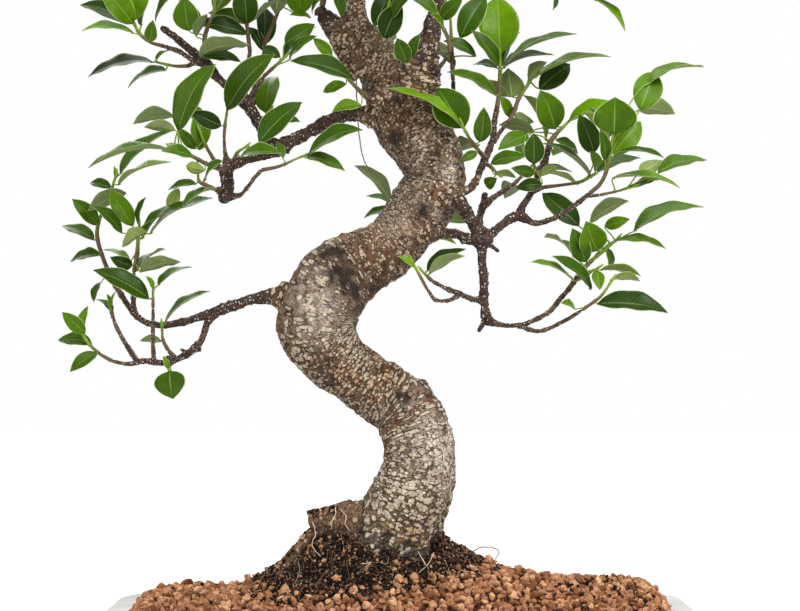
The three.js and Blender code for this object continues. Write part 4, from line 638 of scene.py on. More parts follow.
def tint(red, green, blue):
    # a colour given as it looks on a screen, from 0 to 255, as the shader's linear values
    values = np.array([red, green, blue]) / 255
    linear = np.where(values <= 0.04045, values / 12.92, ((values + 0.055) / 1.055) ** 2.4)
    return tuple(float(value) for value in linear)


def tints(colours):
    # the same for a dictionary of colours
    return {name: tint(*values) for name, values in colours.items()}


# Bark of the trunk. It is a tube of rings whose reach is its radius plus relief: slow swells, ring
# scars and knots. The material draws the raised pale marks, and each point holds its place on the
# straightened tube, so that the marks run round the wood.
trunkBark = {
    "step": 1.45, "around": 150, "flutes": 5, "fluteDepth": 0.07, "fluteTop": 0.22, "fluteTurn": 0.6,
    # underside: how much painted shade darkens the wood's undersides
    "oval": 0.02, "ovalTurns": 7, "underside": 0.45, "scarWander": 0.9, "knotRing": 0.45, "knotHollow": 1.2,
    # rise, size, and how much of it smooth bark loses
    "relief": [(1.3, 34, 0.5), (0.7, 9, 0.6), (0.42, 3.2, 0.5)],
}
# station of the trunk, then the share of worms, dashes and beads that grow there, from 0 to 1, and
# how large they are
markZones = np.array([
    [0, 0.95, 0, 0.4, 0.95], [4.6, 0.95, 0.1, 0.4, 0.9], [5.6, 0.85, 0.3, 0.4, 0.85],
    [6.6, 0.5, 0.55, 0.3, 0.85], [8, 0.12, 0.95, 0.25, 0.85], [9, 0.2, 0.5, 0.9, 0.85],
    [11, 0.15, 0.25, 1, 0.85], [12.2, 0.3, 0.5, 0.6, 0.85], [13, 0.1, 0.95, 0.15, 0.8],
    [15, 0.1, 0.8, 0.15, 0.75], [16.2, 0.05, 0.3, 0.5, 0.7], [17.2, 0.15, 0.15, 1, 0.68],
    [18.8, 0.35, 0.25, 1, 0.66], [20.2, 0.45, 0.65, 0.7, 0.66], [21.6, 0.5, 0.35, 0.9, 0.64],
    [22.6, 0.3, 0.15, 1, 0.6], [26, 0.3, 0.15, 1, 0.6], [33, 0.2, 0.2, 1, 0.6]])
# across, down, radius in millimetres, amount
barkPatches = {
    "dark": [(334, 252, 16, 1), (343, 272, 17, 1), (352, 291, 13, 0.95), (359, 306, 8, 0.6),
             (372, 292, 9, 0.6), (322, 365, 9, 0.6), (334, 388, 10, 0.7), (403, 396, 10, 0.85),
             (392, 404, 7, 0.5), (394, 139, 8, 1), (425, 210, 7, 1), (436, 152, 6, 0.8),
             (446, 153, 5, 0.7), (402, 150, 9, 0.6), (374, 118, 9, 0.5), (404, 250, 13, 0.45),
             (388, 262, 12, 0.4), (394, 106, 15, 0.45), (408, 100, 10, 0.4)],
    "warm": [(362, 336, 12, 0.9), (376, 352, 13, 0.9), (390, 376, 15, 0.8), (352, 378, 16, 0.7),
             (338, 372, 12, 0.7), (372, 396, 13, 0.7), (410, 236, 22, 0.6), (386, 256, 22, 0.7),
             (380, 280, 12, 0.9), (400, 118, 20, 0.9), (380, 84, 24, 0.7), (366, 50, 24, 0.4),
             (352, 20, 20, 0.6), (392, 420, 10, 0.6), (384, 440, 9, 0.6), (352, 520, 14, 0.5),
             (412, 536, 12, 0.7), (430, 520, 9, 0.6)],
    "pale": [(446, 440, 16, 1), (448, 462, 18, 1), (446, 484, 13, 0.8), (434, 424, 12, 0.8),
             (426, 452, 20, 0.8), (322, 300, 22, 0.35), (412, 404, 10, 0.5), (452, 190, 9, 0.9),
             (450, 170, 9, 0.8), (440, 215, 8, 0.6), (400, 226, 12, 0.4)],
    "smooth": [(306, 300, 16, 1), (316, 318, 18, 1), (330, 296, 12, 0.8), (322, 272, 12, 0.7),
               (446, 440, 12, 0.7), (426, 205, 8, 0.8)],
    "olive": [(446, 506, 8, 1), (432, 500, 12, 0.5), (404, 478, 16, 0.35), (380, 525, 18, 0.35),
              (414, 150, 8, 0.4)],
}
# the trunk's far side, which no picture shows: amount, where the patches begin and are full, size, seed
farPatches = {"dark": (0.6, 0.3, 1.1, 55, 4), "warm": (1, 0, 0.8, 70, 5), "pale": (1, 0.3, 0.9, 60, 6)}
# ring scars, as points across the front; width and depth in millimetres, redness
ringScars = [
    ([(348, 240), (354, 256), (362, 268), (371, 276), (381, 282)], 1.5, 1.6, 0.9),
    ([(434, 397), (420, 406), (408, 414), (396, 424), (383, 435)], 1.3, 0.7, 1),
    ([(353, 325), (346, 334), (338, 343), (329, 351), (319, 359)], 1.4, 0.7, 1),
    ([(396, 366), (388, 378), (380, 388), (372, 398), (365, 407)], 1, 0.8, 0.3),
    ([(400, 212), (412, 222), (426, 234), (436, 238)], 1.2, 0.4, 0.3),
    ([(371, 128), (384, 138), (396, 150), (406, 160)], 2.2, 1, 0.2),
]
# across, down, radius and rise in millimetres, size of its growth rings
trunkKnots = [
    (395.5, 362, 3.2, 2.6, 0), (424, 381, 4.6, 1.9, 0), (426, 210, 11, 1.2, 4.4), (395, 139, 6.5, 1.6, 3.6),
    (286, 294, 9, 0.8, 3.5), (439, 157, 4.5, 1.2, 3), (418, 190, 5, 1.4, 0), (447, 213, 6, 1.6, 0),
    (303, 281, 5, 1.6, 0), (331, 250, 6, 1.5, 0), (412, 128, 5, 1.2, 0), (352, 96, 5, 1.8, 0),
    (369, 30, 6, 1.6, 3),
]
markNames = ("worms", "dashes", "beads")

trunkLine, trunkLength = smoothRoute(placesOf(trunkRoute), trunkBark["step"])
trunkAngle = circle(trunkBark["around"])
level = trunkLine[:, 4]
rise = level / (len(trunkRoute) - 1)
flute = np.maximum(0, trunkBark["fluteDepth"] * (1 - rise / trunkBark["fluteTop"]))
outline = (1 + flute[:, None] * np.cos(trunkBark["flutes"] * trunkAngle + trunkBark["fluteTurn"])
           + trunkBark["oval"] * np.cos(2 * trunkAngle + trunkBark["ovalTurns"] * rise[:, None]))
plain = trunkLine[:, 3, None] * outline
_, core, outward = tubeGrid(trunkLine, trunkBark["around"], plain)
seenAcross, seenDown = pictureOf(core)
turnedAway = outward[..., 1] >= 0.15


def spotOn(across, down):
    # the point of the trunk's near side that the picture shows there
    away = (seenAcross - across) ** 2 + (seenDown - down) ** 2 + 1e6 * turnedAway
    return np.unravel_index(np.argmin(away), away.shape)


def patchMask(patches):
    # each patch fades from its centre as a bell, and where they overlap the stronger counts
    mask = np.zeros(plain.shape)
    for across, down, size, amount in patches:
        away = norm(core - core[spotOn(across, down)], axis=-1)
        mask = np.maximum(mask, amount * np.exp(-(away / size) ** 2))
    return mask


def onRings(values):
    # one value for each ring, given to all its points
    return np.repeat(values[:, None], trunkBark["around"], axis=1)


wander = 1 + 0.8 * ripple(core, 9, 3)
masks = {name: np.clip(patchMask(patches) * wander, 0, 1) for name, patches in barkPatches.items()}
behind = smoothStep(-0.1, 0.5, outward[..., 1])
for name, (amount, low, high, size, seed) in farPatches.items():
    masks[name] = np.maximum(masks[name], amount * behind * smoothStep(low, high, ripple(core, size, seed)))
relief = np.zeros(plain.shape)
for seed, (height, size, lost) in enumerate(trunkBark["relief"], 11):
    relief += height * ripple(core, size, seed) * (1 - lost * masks["smooth"])

scar = np.zeros(plain.shape)
for points, width, depth, redness in ringScars:
    # each scar is a tilted ring through its points: a groove, with a lip at either side
    spots = np.array([spotOn(*point) for point in points])
    turn = trunkAngle[spots[:, 1]]
    basis = np.column_stack([np.ones(len(turn)), np.cos(turn), np.sin(turn)])
    towardLevel = np.diag([0, 0.05, 0.05])
    fit = np.linalg.solve(basis.T @ basis + towardLevel, basis.T @ trunkLength[spots[:, 0]])
    ringAt = fit[0] + fit[1] * np.cos(trunkAngle) + fit[2] * np.sin(trunkAngle)
    away = trunkLength[:, None] - ringAt[None] + trunkBark["scarWander"] * ripple(core, 11, 14)
    groove = np.exp(-(away / width) ** 2)
    lip = np.exp(-((np.abs(away) - 2.2 * width) / (1.2 * width)) ** 2)
    relief += depth * (0.5 * lip - groove)
    scar = np.maximum(scar, redness * groove * smoothStep(-0.6, 0.3, ripple(core, 8, 15)))
bare = np.zeros(plain.shape)
for across, down, size, height, rings in trunkKnots:
    # a knot is a bell, and an old wound also has growth rings round a hollow
    away = norm(core - core[spotOn(across, down)], axis=-1)
    swell = np.exp(-(away / size) ** 2)
    relief += height * swell
    if rings:
        ringWaves = np.cos(away * (2 * pi / rings) + ripple(core, 10, 16))
        relief += trunkBark["knotRing"] * swell * ringWaves
        relief -= trunkBark["knotHollow"] * height * np.exp(-(away / (0.35 * size)) ** 2)
        bare = np.maximum(bare, swell)
for column, name in enumerate(markNames, 1):
    share = onRings(np.interp(level, markZones[:, 0], markZones[:, column]))
    masks[name] = share * ((1 - 0.8 * bare) * (1 - 0.75 * masks["dark"]))
masks["scar"] = scar
masks["dull"] = (smoothStep(16, 18, level) * smoothStep(26, 24, level))[:, None] * (1 - masks["pale"])
# painted shade: the wood's undersides are drawn darker than the tops, through the dark mask
paintedUnderShade = trunkBark["underside"] * smoothStep(0, 0.9, -outward[..., 2])
masks["dark"] = np.maximum(masks["dark"], paintedUnderShade * (0.8 + 0.5 * ripple(core, 12, 19)))
# earth clings to the foot, higher up at the right
atRight = smoothStep(4.8, 3.2, level)[:, None] * smoothStep(0.1, 0.9, outward[..., 0])
earth = smoothStep(4.2, 3, level)[:, None] + 0.6 * atRight
masks["earth"] = earth * (0.75 + 0.4 * ripple(core, 12, 17))
markSize = np.interp(level, markZones[:, 0], markZones[:, 4])
masks["unrolledX"] = (trunkLine[:, 3] / markSize)[:, None] * np.cos(trunkAngle)
masks["unrolledY"] = (trunkLine[:, 3] / markSize)[:, None] * np.sin(trunkAngle)
masks["unrolledZ"] = onRings(np.cumsum(trunkLength[1] / markSize))
onPoints = {name: np.append(values.ravel(), values[[0, -1], 0]) for name, values in masks.items()}
trunkShell = Shell()
trunkShell.tube(trunkLine, trunkBark["around"], plain + relief, **onPoints, limb=0, young=0)
print("trunk worked out:", len(trunkLine), "rings")

# Limbs, twigs and roots: tubes that flare where they leave their parent, with knobbly node rings and
# a rounded end.
limbBark = {
    "step": 1.25, "twigStep": 1.5, "twigRadius": 3, "sideWidth": 1.15, "fewestSides": 8, "mostSides": 44,
    "knobble": 0.1, "pimple": 0.06, "nodeRise": 0.24, "nodeSpacing": 9, "nodeWidth": 1.1, "flare": 0.45,
    "beads": 0.95, "warm": 0.5,
}
parentPoints = [trunkLine[::3, :4]] + [smoothRoute(placesOf(route), 4)[0][:, :4] for route in limbs]


def woodLine(stations):
    # the route of a limb or twig, with closer rings on the thicker ones
    thick = stations[:, 3].max() > limbBark["twigRadius"]
    return smoothRoute(stations, limbBark["step"] if thick else limbBark["twigStep"])


def woodTube(shell, stations, own, seed, **values):
    # reach = radius * (1 + flare near the parent) * (1 + lumps), drawn in to a round end
    route, length = woodLine(stations)
    others = np.vstack([line for index, line in enumerate(parentPoints) if index != own])
    gap = norm(route[:, None, :3] - others[None, :, :3], axis=2) - others[None, :, 3]
    away = np.maximum(gap.min(axis=1), 0)
    radius = route[:, 3] * (1 + limbBark["flare"] * np.exp(-away / (1.1 * route[:, 3] + 0.5)))
    middle = np.median(route[:, 3])
    around = int(np.clip(round(2 * pi * middle / limbBark["sideWidth"]), limbBark["fewestSides"],
                         limbBark["mostSides"]))
    angle = circle(around)
    _, core, _ = tubeGrid(route, around, radius)
    lumps = (limbBark["knobble"] * ripple(core, 8 + 0.6 * middle, seed)
             + limbBark["pimple"] * ripple(core, 2.8, seed + 1))
    draw = np.random.default_rng(seed)
    for nodeAt in np.arange(draw.uniform(4, 9), length[-1], limbBark["nodeSpacing"]):
        nodeAt += draw.uniform(-4, 4)
        slant = draw.uniform(-1, 1, 2)
        near = length[:, None] - nodeAt - slant[0] * np.cos(angle) - slant[1] * np.sin(angle)
        height = limbBark["nodeRise"] * min(1, 3 / middle) * draw.uniform(0.4, 1.2)
        lumps += height * np.exp(-(near / limbBark["nodeWidth"]) ** 2)
    tail = np.clip((length[-1] - length) / (0.8 * route[-1, 3] + 0.3), 0, 1)
    reach = radius[:, None] * (1 + lumps) * np.sqrt(1 - (1 - tail[:, None]) ** 2 * 0.92)
    trunk = trunkLine[None, ::3]
    fromTrunk = norm(route[:, None, :3] - trunk[..., :3], axis=2) - trunk[..., 3]
    thin = smoothStep(13, 7, route[:, 3]) * smoothStep(1, 16, fromTrunk.min(axis=1) + 3 * np.sin(length))
    held = {
        "limb": atEnds(thin, around),
        "beads": atEnds(limbBark["beads"] * (1 - thin), around, [0, 0]),
        "warm": atEnds(limbBark["warm"] * (1 - thin), around, [0, 0]),
        "unrolledX": np.append((radius[:, None] * np.cos(angle)).ravel(), [0, 0]),
        "unrolledY": np.append((radius[:, None] * np.sin(angle)).ravel(), [0, 0]),
        "unrolledZ": atEnds(length, around),
    }
    for key, value in values.items():
        held[key] = atEnds(value, around) if np.ndim(value) else value
    shell.tube(route, around, reach, **held)


limbShell = Shell()
for index, route in enumerate(limbs):
    woodTube(limbShell, placesOf(route), index + 1, 100 + index)
for index, route in enumerate(roots):
    stations = placesOf(route)
    earth = np.linspace(-0.1, 0.25 + 0.2 * index, len(woodLine(stations)[0]))
    woodTube(limbShell, stations, -1, 140 + index, warm=0.55, pale=0.05, limb=0, beads=0.3, earth=earth)

plans = []
for name, brown, count, route, traced in shoots:
    stations = placesOf(route)
    plans.append({"name": name, "route": route, "count": count, "traced": traced, "wood": stations[:brown],
                  "green": stations[brown - 1:], "leaves": [],
                  "frames": [directions[brown - 1:] for directions in framesAlong(stations)]})
twigShell = Shell()
for index, plan in enumerate(plans):
    young = smoothStep(3.4, 1.3, woodLine(plan["wood"])[0][:, 3])
    woodTube(twigShell, plan["wood"], -1, 200 + index, young=young)
print("limbs and twigs worked out:", limbShell.count + twigShell.count, "points")

# dark also colours the painted shade on the undersides, and gap the painted shade in the cracks and round
# the raised marks
barkColours = tints({
    "ground": (138, 113, 88), "smooth": (168, 151, 134), "warm": (114, 80, 54), "dark": (54, 45, 37),
    "pale": (228, 211, 194), "olive": (142, 132, 86), "cream": (234, 218, 194), "tan": (220, 182, 142),
    "scar": (124, 70, 45), "limb": (84, 64, 55), "dot": (216, 202, 188), "young": (112, 92, 72),
    "gap": (46, 32, 24), "earth": (52, 40, 31),
})

# Marks: one mark sits in each cell of the unrolled bark, oval, of its own size, or is left out.
marks = Group("barkMarks", {
    "Unrolled": ("Vector", (0, 0, 0)), "Warp": ("Vector", (0, 0, 0)), "Cell": ("Vector", (5, 5, 3)),
    "Bend": ("Float", 0.5), "Size": ("Float", 0.4), "Share": ("Float", 0.5),
}, {"Mask": "Float", "Edge": "Float", "Tone": "Float"})
inCells = marks.vector("DIVIDE", marks.given["Unrolled"], marks.given["Cell"])
bend = marks.add("CombineXYZ", {letter: marks.given["Bend"] for letter in "XYZ"})
bent = marks.vector("MULTIPLY_ADD", marks.given["Warp"], bend, inCells)
cells = marks.add("TexVoronoi", {"Vector": bent, "Scale": 1, "Randomness": 0.85}, "Distance")
lots = marks.add("SeparateColor", {"Color": cells.of("Color")})
within = marks.given["Size"] * lots.of("Red").line(0.6, 0.7) - cells
there = marks.math("LESS_THAN", lots.of("Green"), marks.given["Share"])
markMask = marks.ramp(within, -0.03, 0.05) * there
# Edge is a ring round each mark, where painted crevice shade goes
markEdge = marks.math("SUBTRACT", marks.ramp(within, -0.24, -0.02) * there, markMask, clamp=True)
marks.put({"Mask": markMask, "Edge": markEdge, "Tone": lots.of("Blue")})

# name of its share, cell in millimetres round and along, how far it bends, its size in cells, and
# how many of the cells may hold one
markKinds = [("dashes", (21, 21, 3.9), 0.3, 0.35, 1), ("worms", (8.4, 8.4, 4.8), 1.25, 0.45, 1),
             ("beads", (4.4, 4.4, 3.1), 0.8, 0.48, 1), ("limb", (2.8, 2.8, 2.2), 0.5, 0.3, 0.75)]
bark = Finish("figBark", {"Specular IOR Level": 0.25})
held = bark.attribute
colour = bark.mix(held("smooth"), barkColours["ground"], barkColours["smooth"])
# the dark mask holds the dark bark patches and the painted shade on the undersides
for name in ("warm", "olive", "pale", "dark"):
    colour = bark.mix(held(name), colour, barkColours[name])
limbColour = bark.mix(held("young"), barkColours["limb"], barkColours["young"])
blotches = bark.mottled(bark.mix(held("limb"), colour, limbColour), 9, 0.6)
colour = bark.mottled(blotches, 1.8, 1)
unrolled = bark.add("CombineXYZ", {letter: held("unrolled" + letter) for letter in "XYZ"})
warp = bark.vector("SUBTRACT", bark.cloud(bark.place(), 150, 3, 0.65, "Color"), (0.5, 0.5, 0.5))
# dark cracks between small plates that are wider than they are tall: painted shade in the recesses
plates = bark.vector("ADD", bark.vector("DIVIDE", unrolled, (5.2, 5.2, 3.2)), warp)
cracks = bark.add("TexVoronoi", {"Vector": plates, "Scale": 1, "Randomness": 1}, "Distance",
                  feature="DISTANCE_TO_EDGE")
crack = (1 - bark.ramp(cracks, 0, 0.16)) * held("smooth").line(-0.7, 1)
crack = crack * bark.ramp(bark.noise(7, 2), 0.35, 0.6)
colour = bark.mix(crack * 0.7, colour, barkColours["gap"])
markColour = bark.mix(held("warm"), barkColours["cream"], barkColours["tan"])
markColour = bark.mix(held("dark") * 0.75, markColour, barkColours["ground"])
markColour = bark.mottled(bark.mix(held("limb"), markColour, barkColours["dot"]), 2.4, 0.55)
fewer = held("warm").line(-0.3, 1)
edgeShadeDepth = held("smooth").line(-0.45, 0.85)
fade = held("dull").line(0.75, 0.2)
raised = 0
for name, cell, bendOver, size, most in markKinds:
    mark = bark.use(marks, {"Unrolled": unrolled, "Warp": warp, "Cell": cell, "Bend": bendOver, "Size": size,
                            "Share": held(name) * fewer * most})
    # painted shade in the crevice round each raised mark
    colour = bark.mix(mark.of("Edge") * edgeShadeDepth, colour, barkColours["gap"])
    markTint = bark.mix(mark.of("Tone") * fade, markColour, barkColours["ground"])
    colour = bark.mix(mark.of("Mask") * 0.9, colour, markTint)
    raised = bark.math("MAXIMUM", mark.of("Mask"), raised)
redness = held("scar") * bark.ramp(bark.noise(3, 3), 0.2, 0.48)
colour = bark.mix(redness, colour, barkColours["scar"])
earth = bark.ramp(bark.noise(6, 4, 0.75) + held("earth").line(0.5, -0.35), 0.38, 0.5)
earth = earth * bark.ramp(held("earth"), 0, 0.2)
bark.surface({"Base Color": bark.mix(earth * 0.85, colour, barkColours["earth"]),
              "Roughness": blotches.of("Mask").line(0.2, 0.68)})
height = crack.line(-0.6, bark.noise(2, 5, 0.75) * 1.1)
bark.bump(raised.line(0.7, height), 1, 2)
trunkShell.piece("trunk_bark", bark.material, "bark", ["trunk"])
limbShell.piece("limbs_and_roots", bark.material, "bark", ["trunk"])
twigShell.piece("twigs", bark.material, "bark", ["trunk"])
print("wood made")

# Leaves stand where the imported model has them: the same rule places them, with what has been placed
# so far kept as balls that each new leaf stays clear of.
leafRule = {"spacing": 3.5, "foldDegrees": 13, "arch": 0.1, "aspect": 0.47, "widest": 31, "stemStep": 1.5,
            "baseShift": 0.25}
grownRule = {"shortest": 36, "longest": 54, "petiole": 9, "goldenAngle": 137.5, "smaller": 0.8,
             "wideTurn": 50, "lean": 80, "leanAtTip": 38, "leanDraw": 12, "sink": 0.08}
depthTrials = [0, 9, -9, 18, -18, 27, -27, 38, -38, 50, -50]
turnTrials = [0, 24, -24, 48, -48, 76, -76, 110, -110]
room = {"trunk": 3, "limb": 0.8, "twig": 0.6, "stem": 0.5, "petiole": 1.2, "blade": 2.2, "leafReach": 60,
        "routeStep": 3, "middleBall": 23}
taken = {"points": np.zeros((0, 3)), "radius": np.zeros(0), "owner": np.zeros(0, int),
         "blade": np.zeros(0, bool)}


def take(owner, points, radius, blade=False):
    # these balls join the ones that later leaves stay clear of
    count = len(points)
    balls = {"points": points, "radius": radius, "owner": np.full(count, owner),
             "blade": np.broadcast_to(blade, count)}
    for key, values in balls.items():
        taken[key] = np.concatenate([taken[key], values])


def takeRoute(stations, owner, spare):
    # balls along a route, with its radius and something to spare
    for start, end in zip(stations[:-1], stations[1:]):
        steps = max(1, ceil(norm(end[:3] - start[:3]) / room["routeStep"]))
        rows = start + (end - start) * np.linspace(0, 1, steps + 1)[:, None]
        take(owner, rows[:, :3], rows[:, 3] + spare)


def planLeaf(attach, base, tip, facing, width, age):
    # a leaf's own directions: along it, out of its face, and beside both
    along = unit(tip - base)
    normal = unit(facing - along * facing.dot(along))
    return {"attach": attach, "base": base, "tip": tip, "length": norm(tip - base), "along": along,
            "normal": normal, "beside": np.cross(along, normal), "width": width, "age": age}


petioleParts = np.array([[0.4], [0.7], [1]])
bladeParts = np.repeat([0.12, 0.26, 0.4, 0.54, 0.68, 0.82, 0.92, 1], 5)[:, None]
bladeSides = np.tile([-1, -0.5, 0, 0.5, 1], 8)[:, None]


def leafBalls(leaf):
    # balls over the folded and arched blade, and three along its petiole
    reach = bladeSides * ((leaf["width"] / 2) * np.sin(pi * bladeParts ** 0.8))
    lift = sin(radians(leafRule["foldDegrees"]))
    blade = (leaf["base"] + leaf["along"] * leaf["length"] * bladeParts
             + leaf["normal"] * (leafRule["arch"] * leaf["length"] * 4 * bladeParts * (1 - bladeParts))
             + leaf["beside"] * reach + leaf["normal"] * np.abs(reach) * lift)
    petiole = leaf["attach"] + (leaf["base"] - leaf["attach"]) * petioleParts
    radius = np.repeat([room["petiole"], room["blade"]], [len(petiole), len(blade)])
    return np.vstack([petiole, blade]), radius, np.append(np.zeros(len(petiole), bool), bladeParts > 0.2)


def keepIfClear(plan, owner, leaf, ownToo):
    # a leaf joins its shoot if no ball of it meets a ball of another shoot or of the wood, nor, for a
    # grown leaf, a blade of its own shoot
    points, radius, blade = leafBalls(leaf)
    away = norm(taken["points"] - points[room["middleBall"]], axis=1)
    near = away < room["leafReach"] + taken["radius"]
    others = near & (taken["owner"] != owner)
    apart = norm(points[:, None] - taken["points"][others][None], axis=2)
    if (apart <= taken["radius"][others][None] + radius[:, None]).any():
        return False
    own = near & (taken["owner"] == owner) & taken["blade"]
    apart = norm(points[blade][:, None] - taken["points"][own][None], axis=2)
    if ownToo and (apart <= taken["radius"][own][None]).any():
        return False
    take(owner, points, radius, blade)
    plan["leaves"].append(leaf)
    return True


def nearestOnStem(stem, target, used):
    # the nearest place on the green stem that isn't close to another leaf's
    spots = []
    for index, (start, end) in enumerate(zip(stem[:-1], stem[1:])):
        steps = ceil(norm(end - start) / leafRule["stemStep"])
        spots += [start + (end - start) * (step / steps) for step in range(2 if index == 0 else 0, steps)]
    spots = np.array(spots)
    away = norm(spots - target, axis=1)
    for other in used:
        away = away + 1000 * (norm(spots - other, axis=1) < leafRule["spacing"]) * (away < 1000)
    return spots[np.argmin(away)]


def tracedLeaf(stem, traced, trial, used):
    # base and tip stand where the picture has them, and the leaf is rolled until it looks as narrow
    baseAcross, baseDown, tipAcross, tipDown, widthSeen, behind, age, side = (*traced, 1)[:8]
    attach = nearestOnStem(stem, place(baseAcross, baseDown, stem[-1][1]), used)
    base = place(baseAcross, baseDown, attach[1] + leafRule["baseShift"] * (behind + trial))
    tip = place(tipAcross, tipDown, attach[1] + behind + trial)
    seen = widthSeen / unitsPerMillimetre
    width = max(seen, min(leafRule["aspect"] * norm(tip - base), leafRule["widest"]))
    along = unit(tip - base)
    toViewer = unit(np.array([0, -1, 0]) + along * along[1])
    upward = np.cross(along, toViewer)
    if upward[2] < 0:
        upward = -upward
    roll = acos(min(1, seen / width))
    facing = toViewer * side * cos(roll) + upward * sin(roll)
    return planLeaf(attach, base, tip, facing, width, age)


def grownLeaf(plan, index, turn):
    # each leaf stands a golden angle round from the last, leaning more along the stem towards its tip
    green, count = plan["green"], plan["count"]
    size = grownRule["smaller"] if abs(turn) > grownRule["wideTurn"] else 1
    draw = (index * 0.618 + count * 0.37) % 1
    position = ((index + 0.6) / count) * (len(green) - 1)
    lower = min(floor(position), len(green) - 2)
    along, across, beside = [directions[lower] for directions in plan["frames"]]
    onward = max(position - lower, 0.3 if lower == 0 else 0)
    attach = green[lower][:3] + (green[lower + 1][:3] - green[lower][:3]) * onward
    angle = radians(index * grownRule["goldenAngle"] + turn)
    less = grownRule["lean"] - grownRule["leanAtTip"]
    lean = radians(grownRule["lean"] - less * (index / count) + grownRule["leanDraw"] * (draw - 0.5))
    radial = across * cos(angle) + beside * sin(angle)
    sink = np.array([0, 0, grownRule["sink"]])
    toward = unit(along * cos(lean) + radial * sin(lean) - sink)
    length = (grownRule["shortest"] + (grownRule["longest"] - grownRule["shortest"]) * draw) * size
    base = attach + toward * grownRule["petiole"]
    facing = along * 0.6 + np.array([0, -0.15, 0.8])
    age = 0.05 + 0.75 * ((index + 1) / count) ** 3 * (0.4 + 0.6 * draw)
    width = min(leafRule["aspect"] * length, leafRule["widest"])
    return planLeaf(attach, base, base + toward * length, facing, width, age)


woodOwner = -1
takeRoute(placesOf(trunkRoute), woodOwner, room["trunk"])
for route in limbs:
    takeRoute(placesOf(route), woodOwner, room["limb"])
for owner, plan in enumerate(plans):
    takeRoute(plan["wood"], woodOwner, room["twig"])
    takeRoute(plan["green"], owner, room["stem"])
for owner, plan in enumerate(plans):
    used = []
    for traced in plan["traced"]:
        for trial in depthTrials:
            leaf = tracedLeaf(plan["green"][:, :3], traced, trial, used)
            if keepIfClear(plan, owner, leaf, False):
                used.append(leaf["attach"])
                break
for owner, plan in enumerate(plans):
    for index in range(plan["count"]):
        for turn in turnTrials:
            leaf = grownLeaf(plan, index, turn)
            # a shoot above the picture hangs no leaf down into it
            edge = place(eye["across"], 0, leaf["tip"][1])[2]
            hangs = plan["route"][-1][1] < 0 and leaf["tip"][2] < edge
            if not hangs and keepIfClear(plan, owner, leaf, True):
                break
print("leaves placed:", sum(len(plan["leaves"]) for plan in plans))

# A leaf is a closed shell over a grid: t from base to tip, u across. Its outline is a sine whose
# middle lies nearer the tip, drawn in to a short point; it arches, folds up from the midrib, droops
# at the tip and waves a little at its edges.
blade = {
    "stations": 16, "columns": 9, "thickness": 0.42, "ribRise": 0.55, "ribWidth": 0.75, "wave": 0.035,
    "valley": 0.35, "valleyWidth": 1.1, "towardTip": 0.84, "fullness": 0.76, "point": 0.3, "thinEdge": 0.45,
    "droop": 0.012, "bend": 0.03, "leastWidth": 0.12,
}
petiole = {"radius": 0.8, "endRadius": 0.62, "rings": 7, "sides": 6, "foot": 0.35}
stemSkin = {"sides": 9, "step": 1.6, "thicker": 1.08, "nodeRise": 0.35, "nodeWidth": 1.3}
budSheath = {"rings": 8, "sides": 8, "length": 8, "width": 1.15, "lift": 1.2}
notBlade = {"u": 0.5, "v": 0.5, "blade": 0, "size": 0.5}


def bladeShell(shell, leaf, draw):
    # half the width is a power of a sine of t; the rise adds up arch, fold, wave, droop and valley
    t = (np.linspace(0, 1, blade["stations"]) ** 0.94)[:, None]
    u = np.linspace(-1, 1, blade["columns"])[None]
    u = np.sign(u) * np.abs(u) ** 0.92
    half = (leaf["width"] / 2) * np.sin(pi * t ** blade["towardTip"]) ** blade["fullness"]
    half = half * (1 - blade["point"] * smoothStep(0.86, 0.98, t))
    half = np.maximum(half, np.where(t < 0.5, petiole["endRadius"] * 0.9, blade["leastWidth"]))
    fold = radians(leafRule["foldDegrees"] * draw.uniform(0.75, 1.35))
    wave = blade["wave"] * leaf["width"] * np.abs(u) ** 2 * np.sin(
        2 * pi * (t * draw.uniform(1.6, 2.6)) + (draw.uniform(0, 6.28) + 1.6 * np.sign(u)))
    rise = (leafRule["arch"] * leaf["length"] * 4 * t * (1 - t)
            + half * (0.35 * np.abs(u) + 0.65 * np.abs(u) ** 1.6) * sin(fold)
            + wave * np.sin(pi * t)
            + blade["droop"] * leaf["length"] * draw.uniform(-1, 1) * np.sin(2 * pi * t)
            - blade["valley"] * np.exp(-(u * half / blade["valleyWidth"]) ** 2) * np.sin(pi * t))
    bend = blade["bend"] * leaf["length"] * draw.uniform(-1, 1) * np.sin(pi * t)
    surface = (leaf["base"] + leaf["along"] * (leaf["length"] * t + 0 * u)[..., None]
               + leaf["beside"] * (u * half * cos(fold) + bend)[..., None]
               + leaf["normal"] * rise[..., None])
    down = -unit(np.cross(np.gradient(surface, axis=1), np.gradient(surface, axis=0)))
    down[[0, -1]] = -leaf["normal"]
    thick = 0.5 * blade["thickness"] * (1 - blade["thinEdge"] * np.abs(u) ** 4)
    rib = blade["ribRise"] * np.exp(-(u * half / blade["ribWidth"]) ** 2) * (1 - 0.75 * t)
    upper = surface - down * thick[..., None]
    under = surface + down * (thick + rib)[..., None]
    # both sides, and a strip round the four edges that closes them
    rows, columns = upper.shape[:2]
    each = rows * columns
    grid = np.arange(each).reshape(rows, columns)
    quads = np.stack([grid[:-1, :-1], grid[:-1, 1:], grid[1:, 1:], grid[1:, :-1]], -1).reshape(-1, 4)
    edges = [(grid[:-1, 0], grid[1:, 0]), (grid[1:, -1], grid[:-1, -1]), (grid[0, 1:], grid[0, :-1]),
             (grid[-1, :-1], grid[-1, 1:])]
    faces = [quads, (quads + each)[:, ::-1]]
    faces += [np.stack([start, end, end + each, start + each], -1) for start, end in edges]
    uAcross, vAlong = [np.tile(np.broadcast_to(values, (rows, columns)).ravel(), 2)
                       for values in ((u + 1) / 2, t)]
    shell.add(np.stack([upper, under]), faces, u=uAcross, v=vAlong, upper=np.repeat([1, 0], each),
              blade=1, age=leaf["age"], tone=draw.uniform(0, 1), size=leaf["length"] / 100)


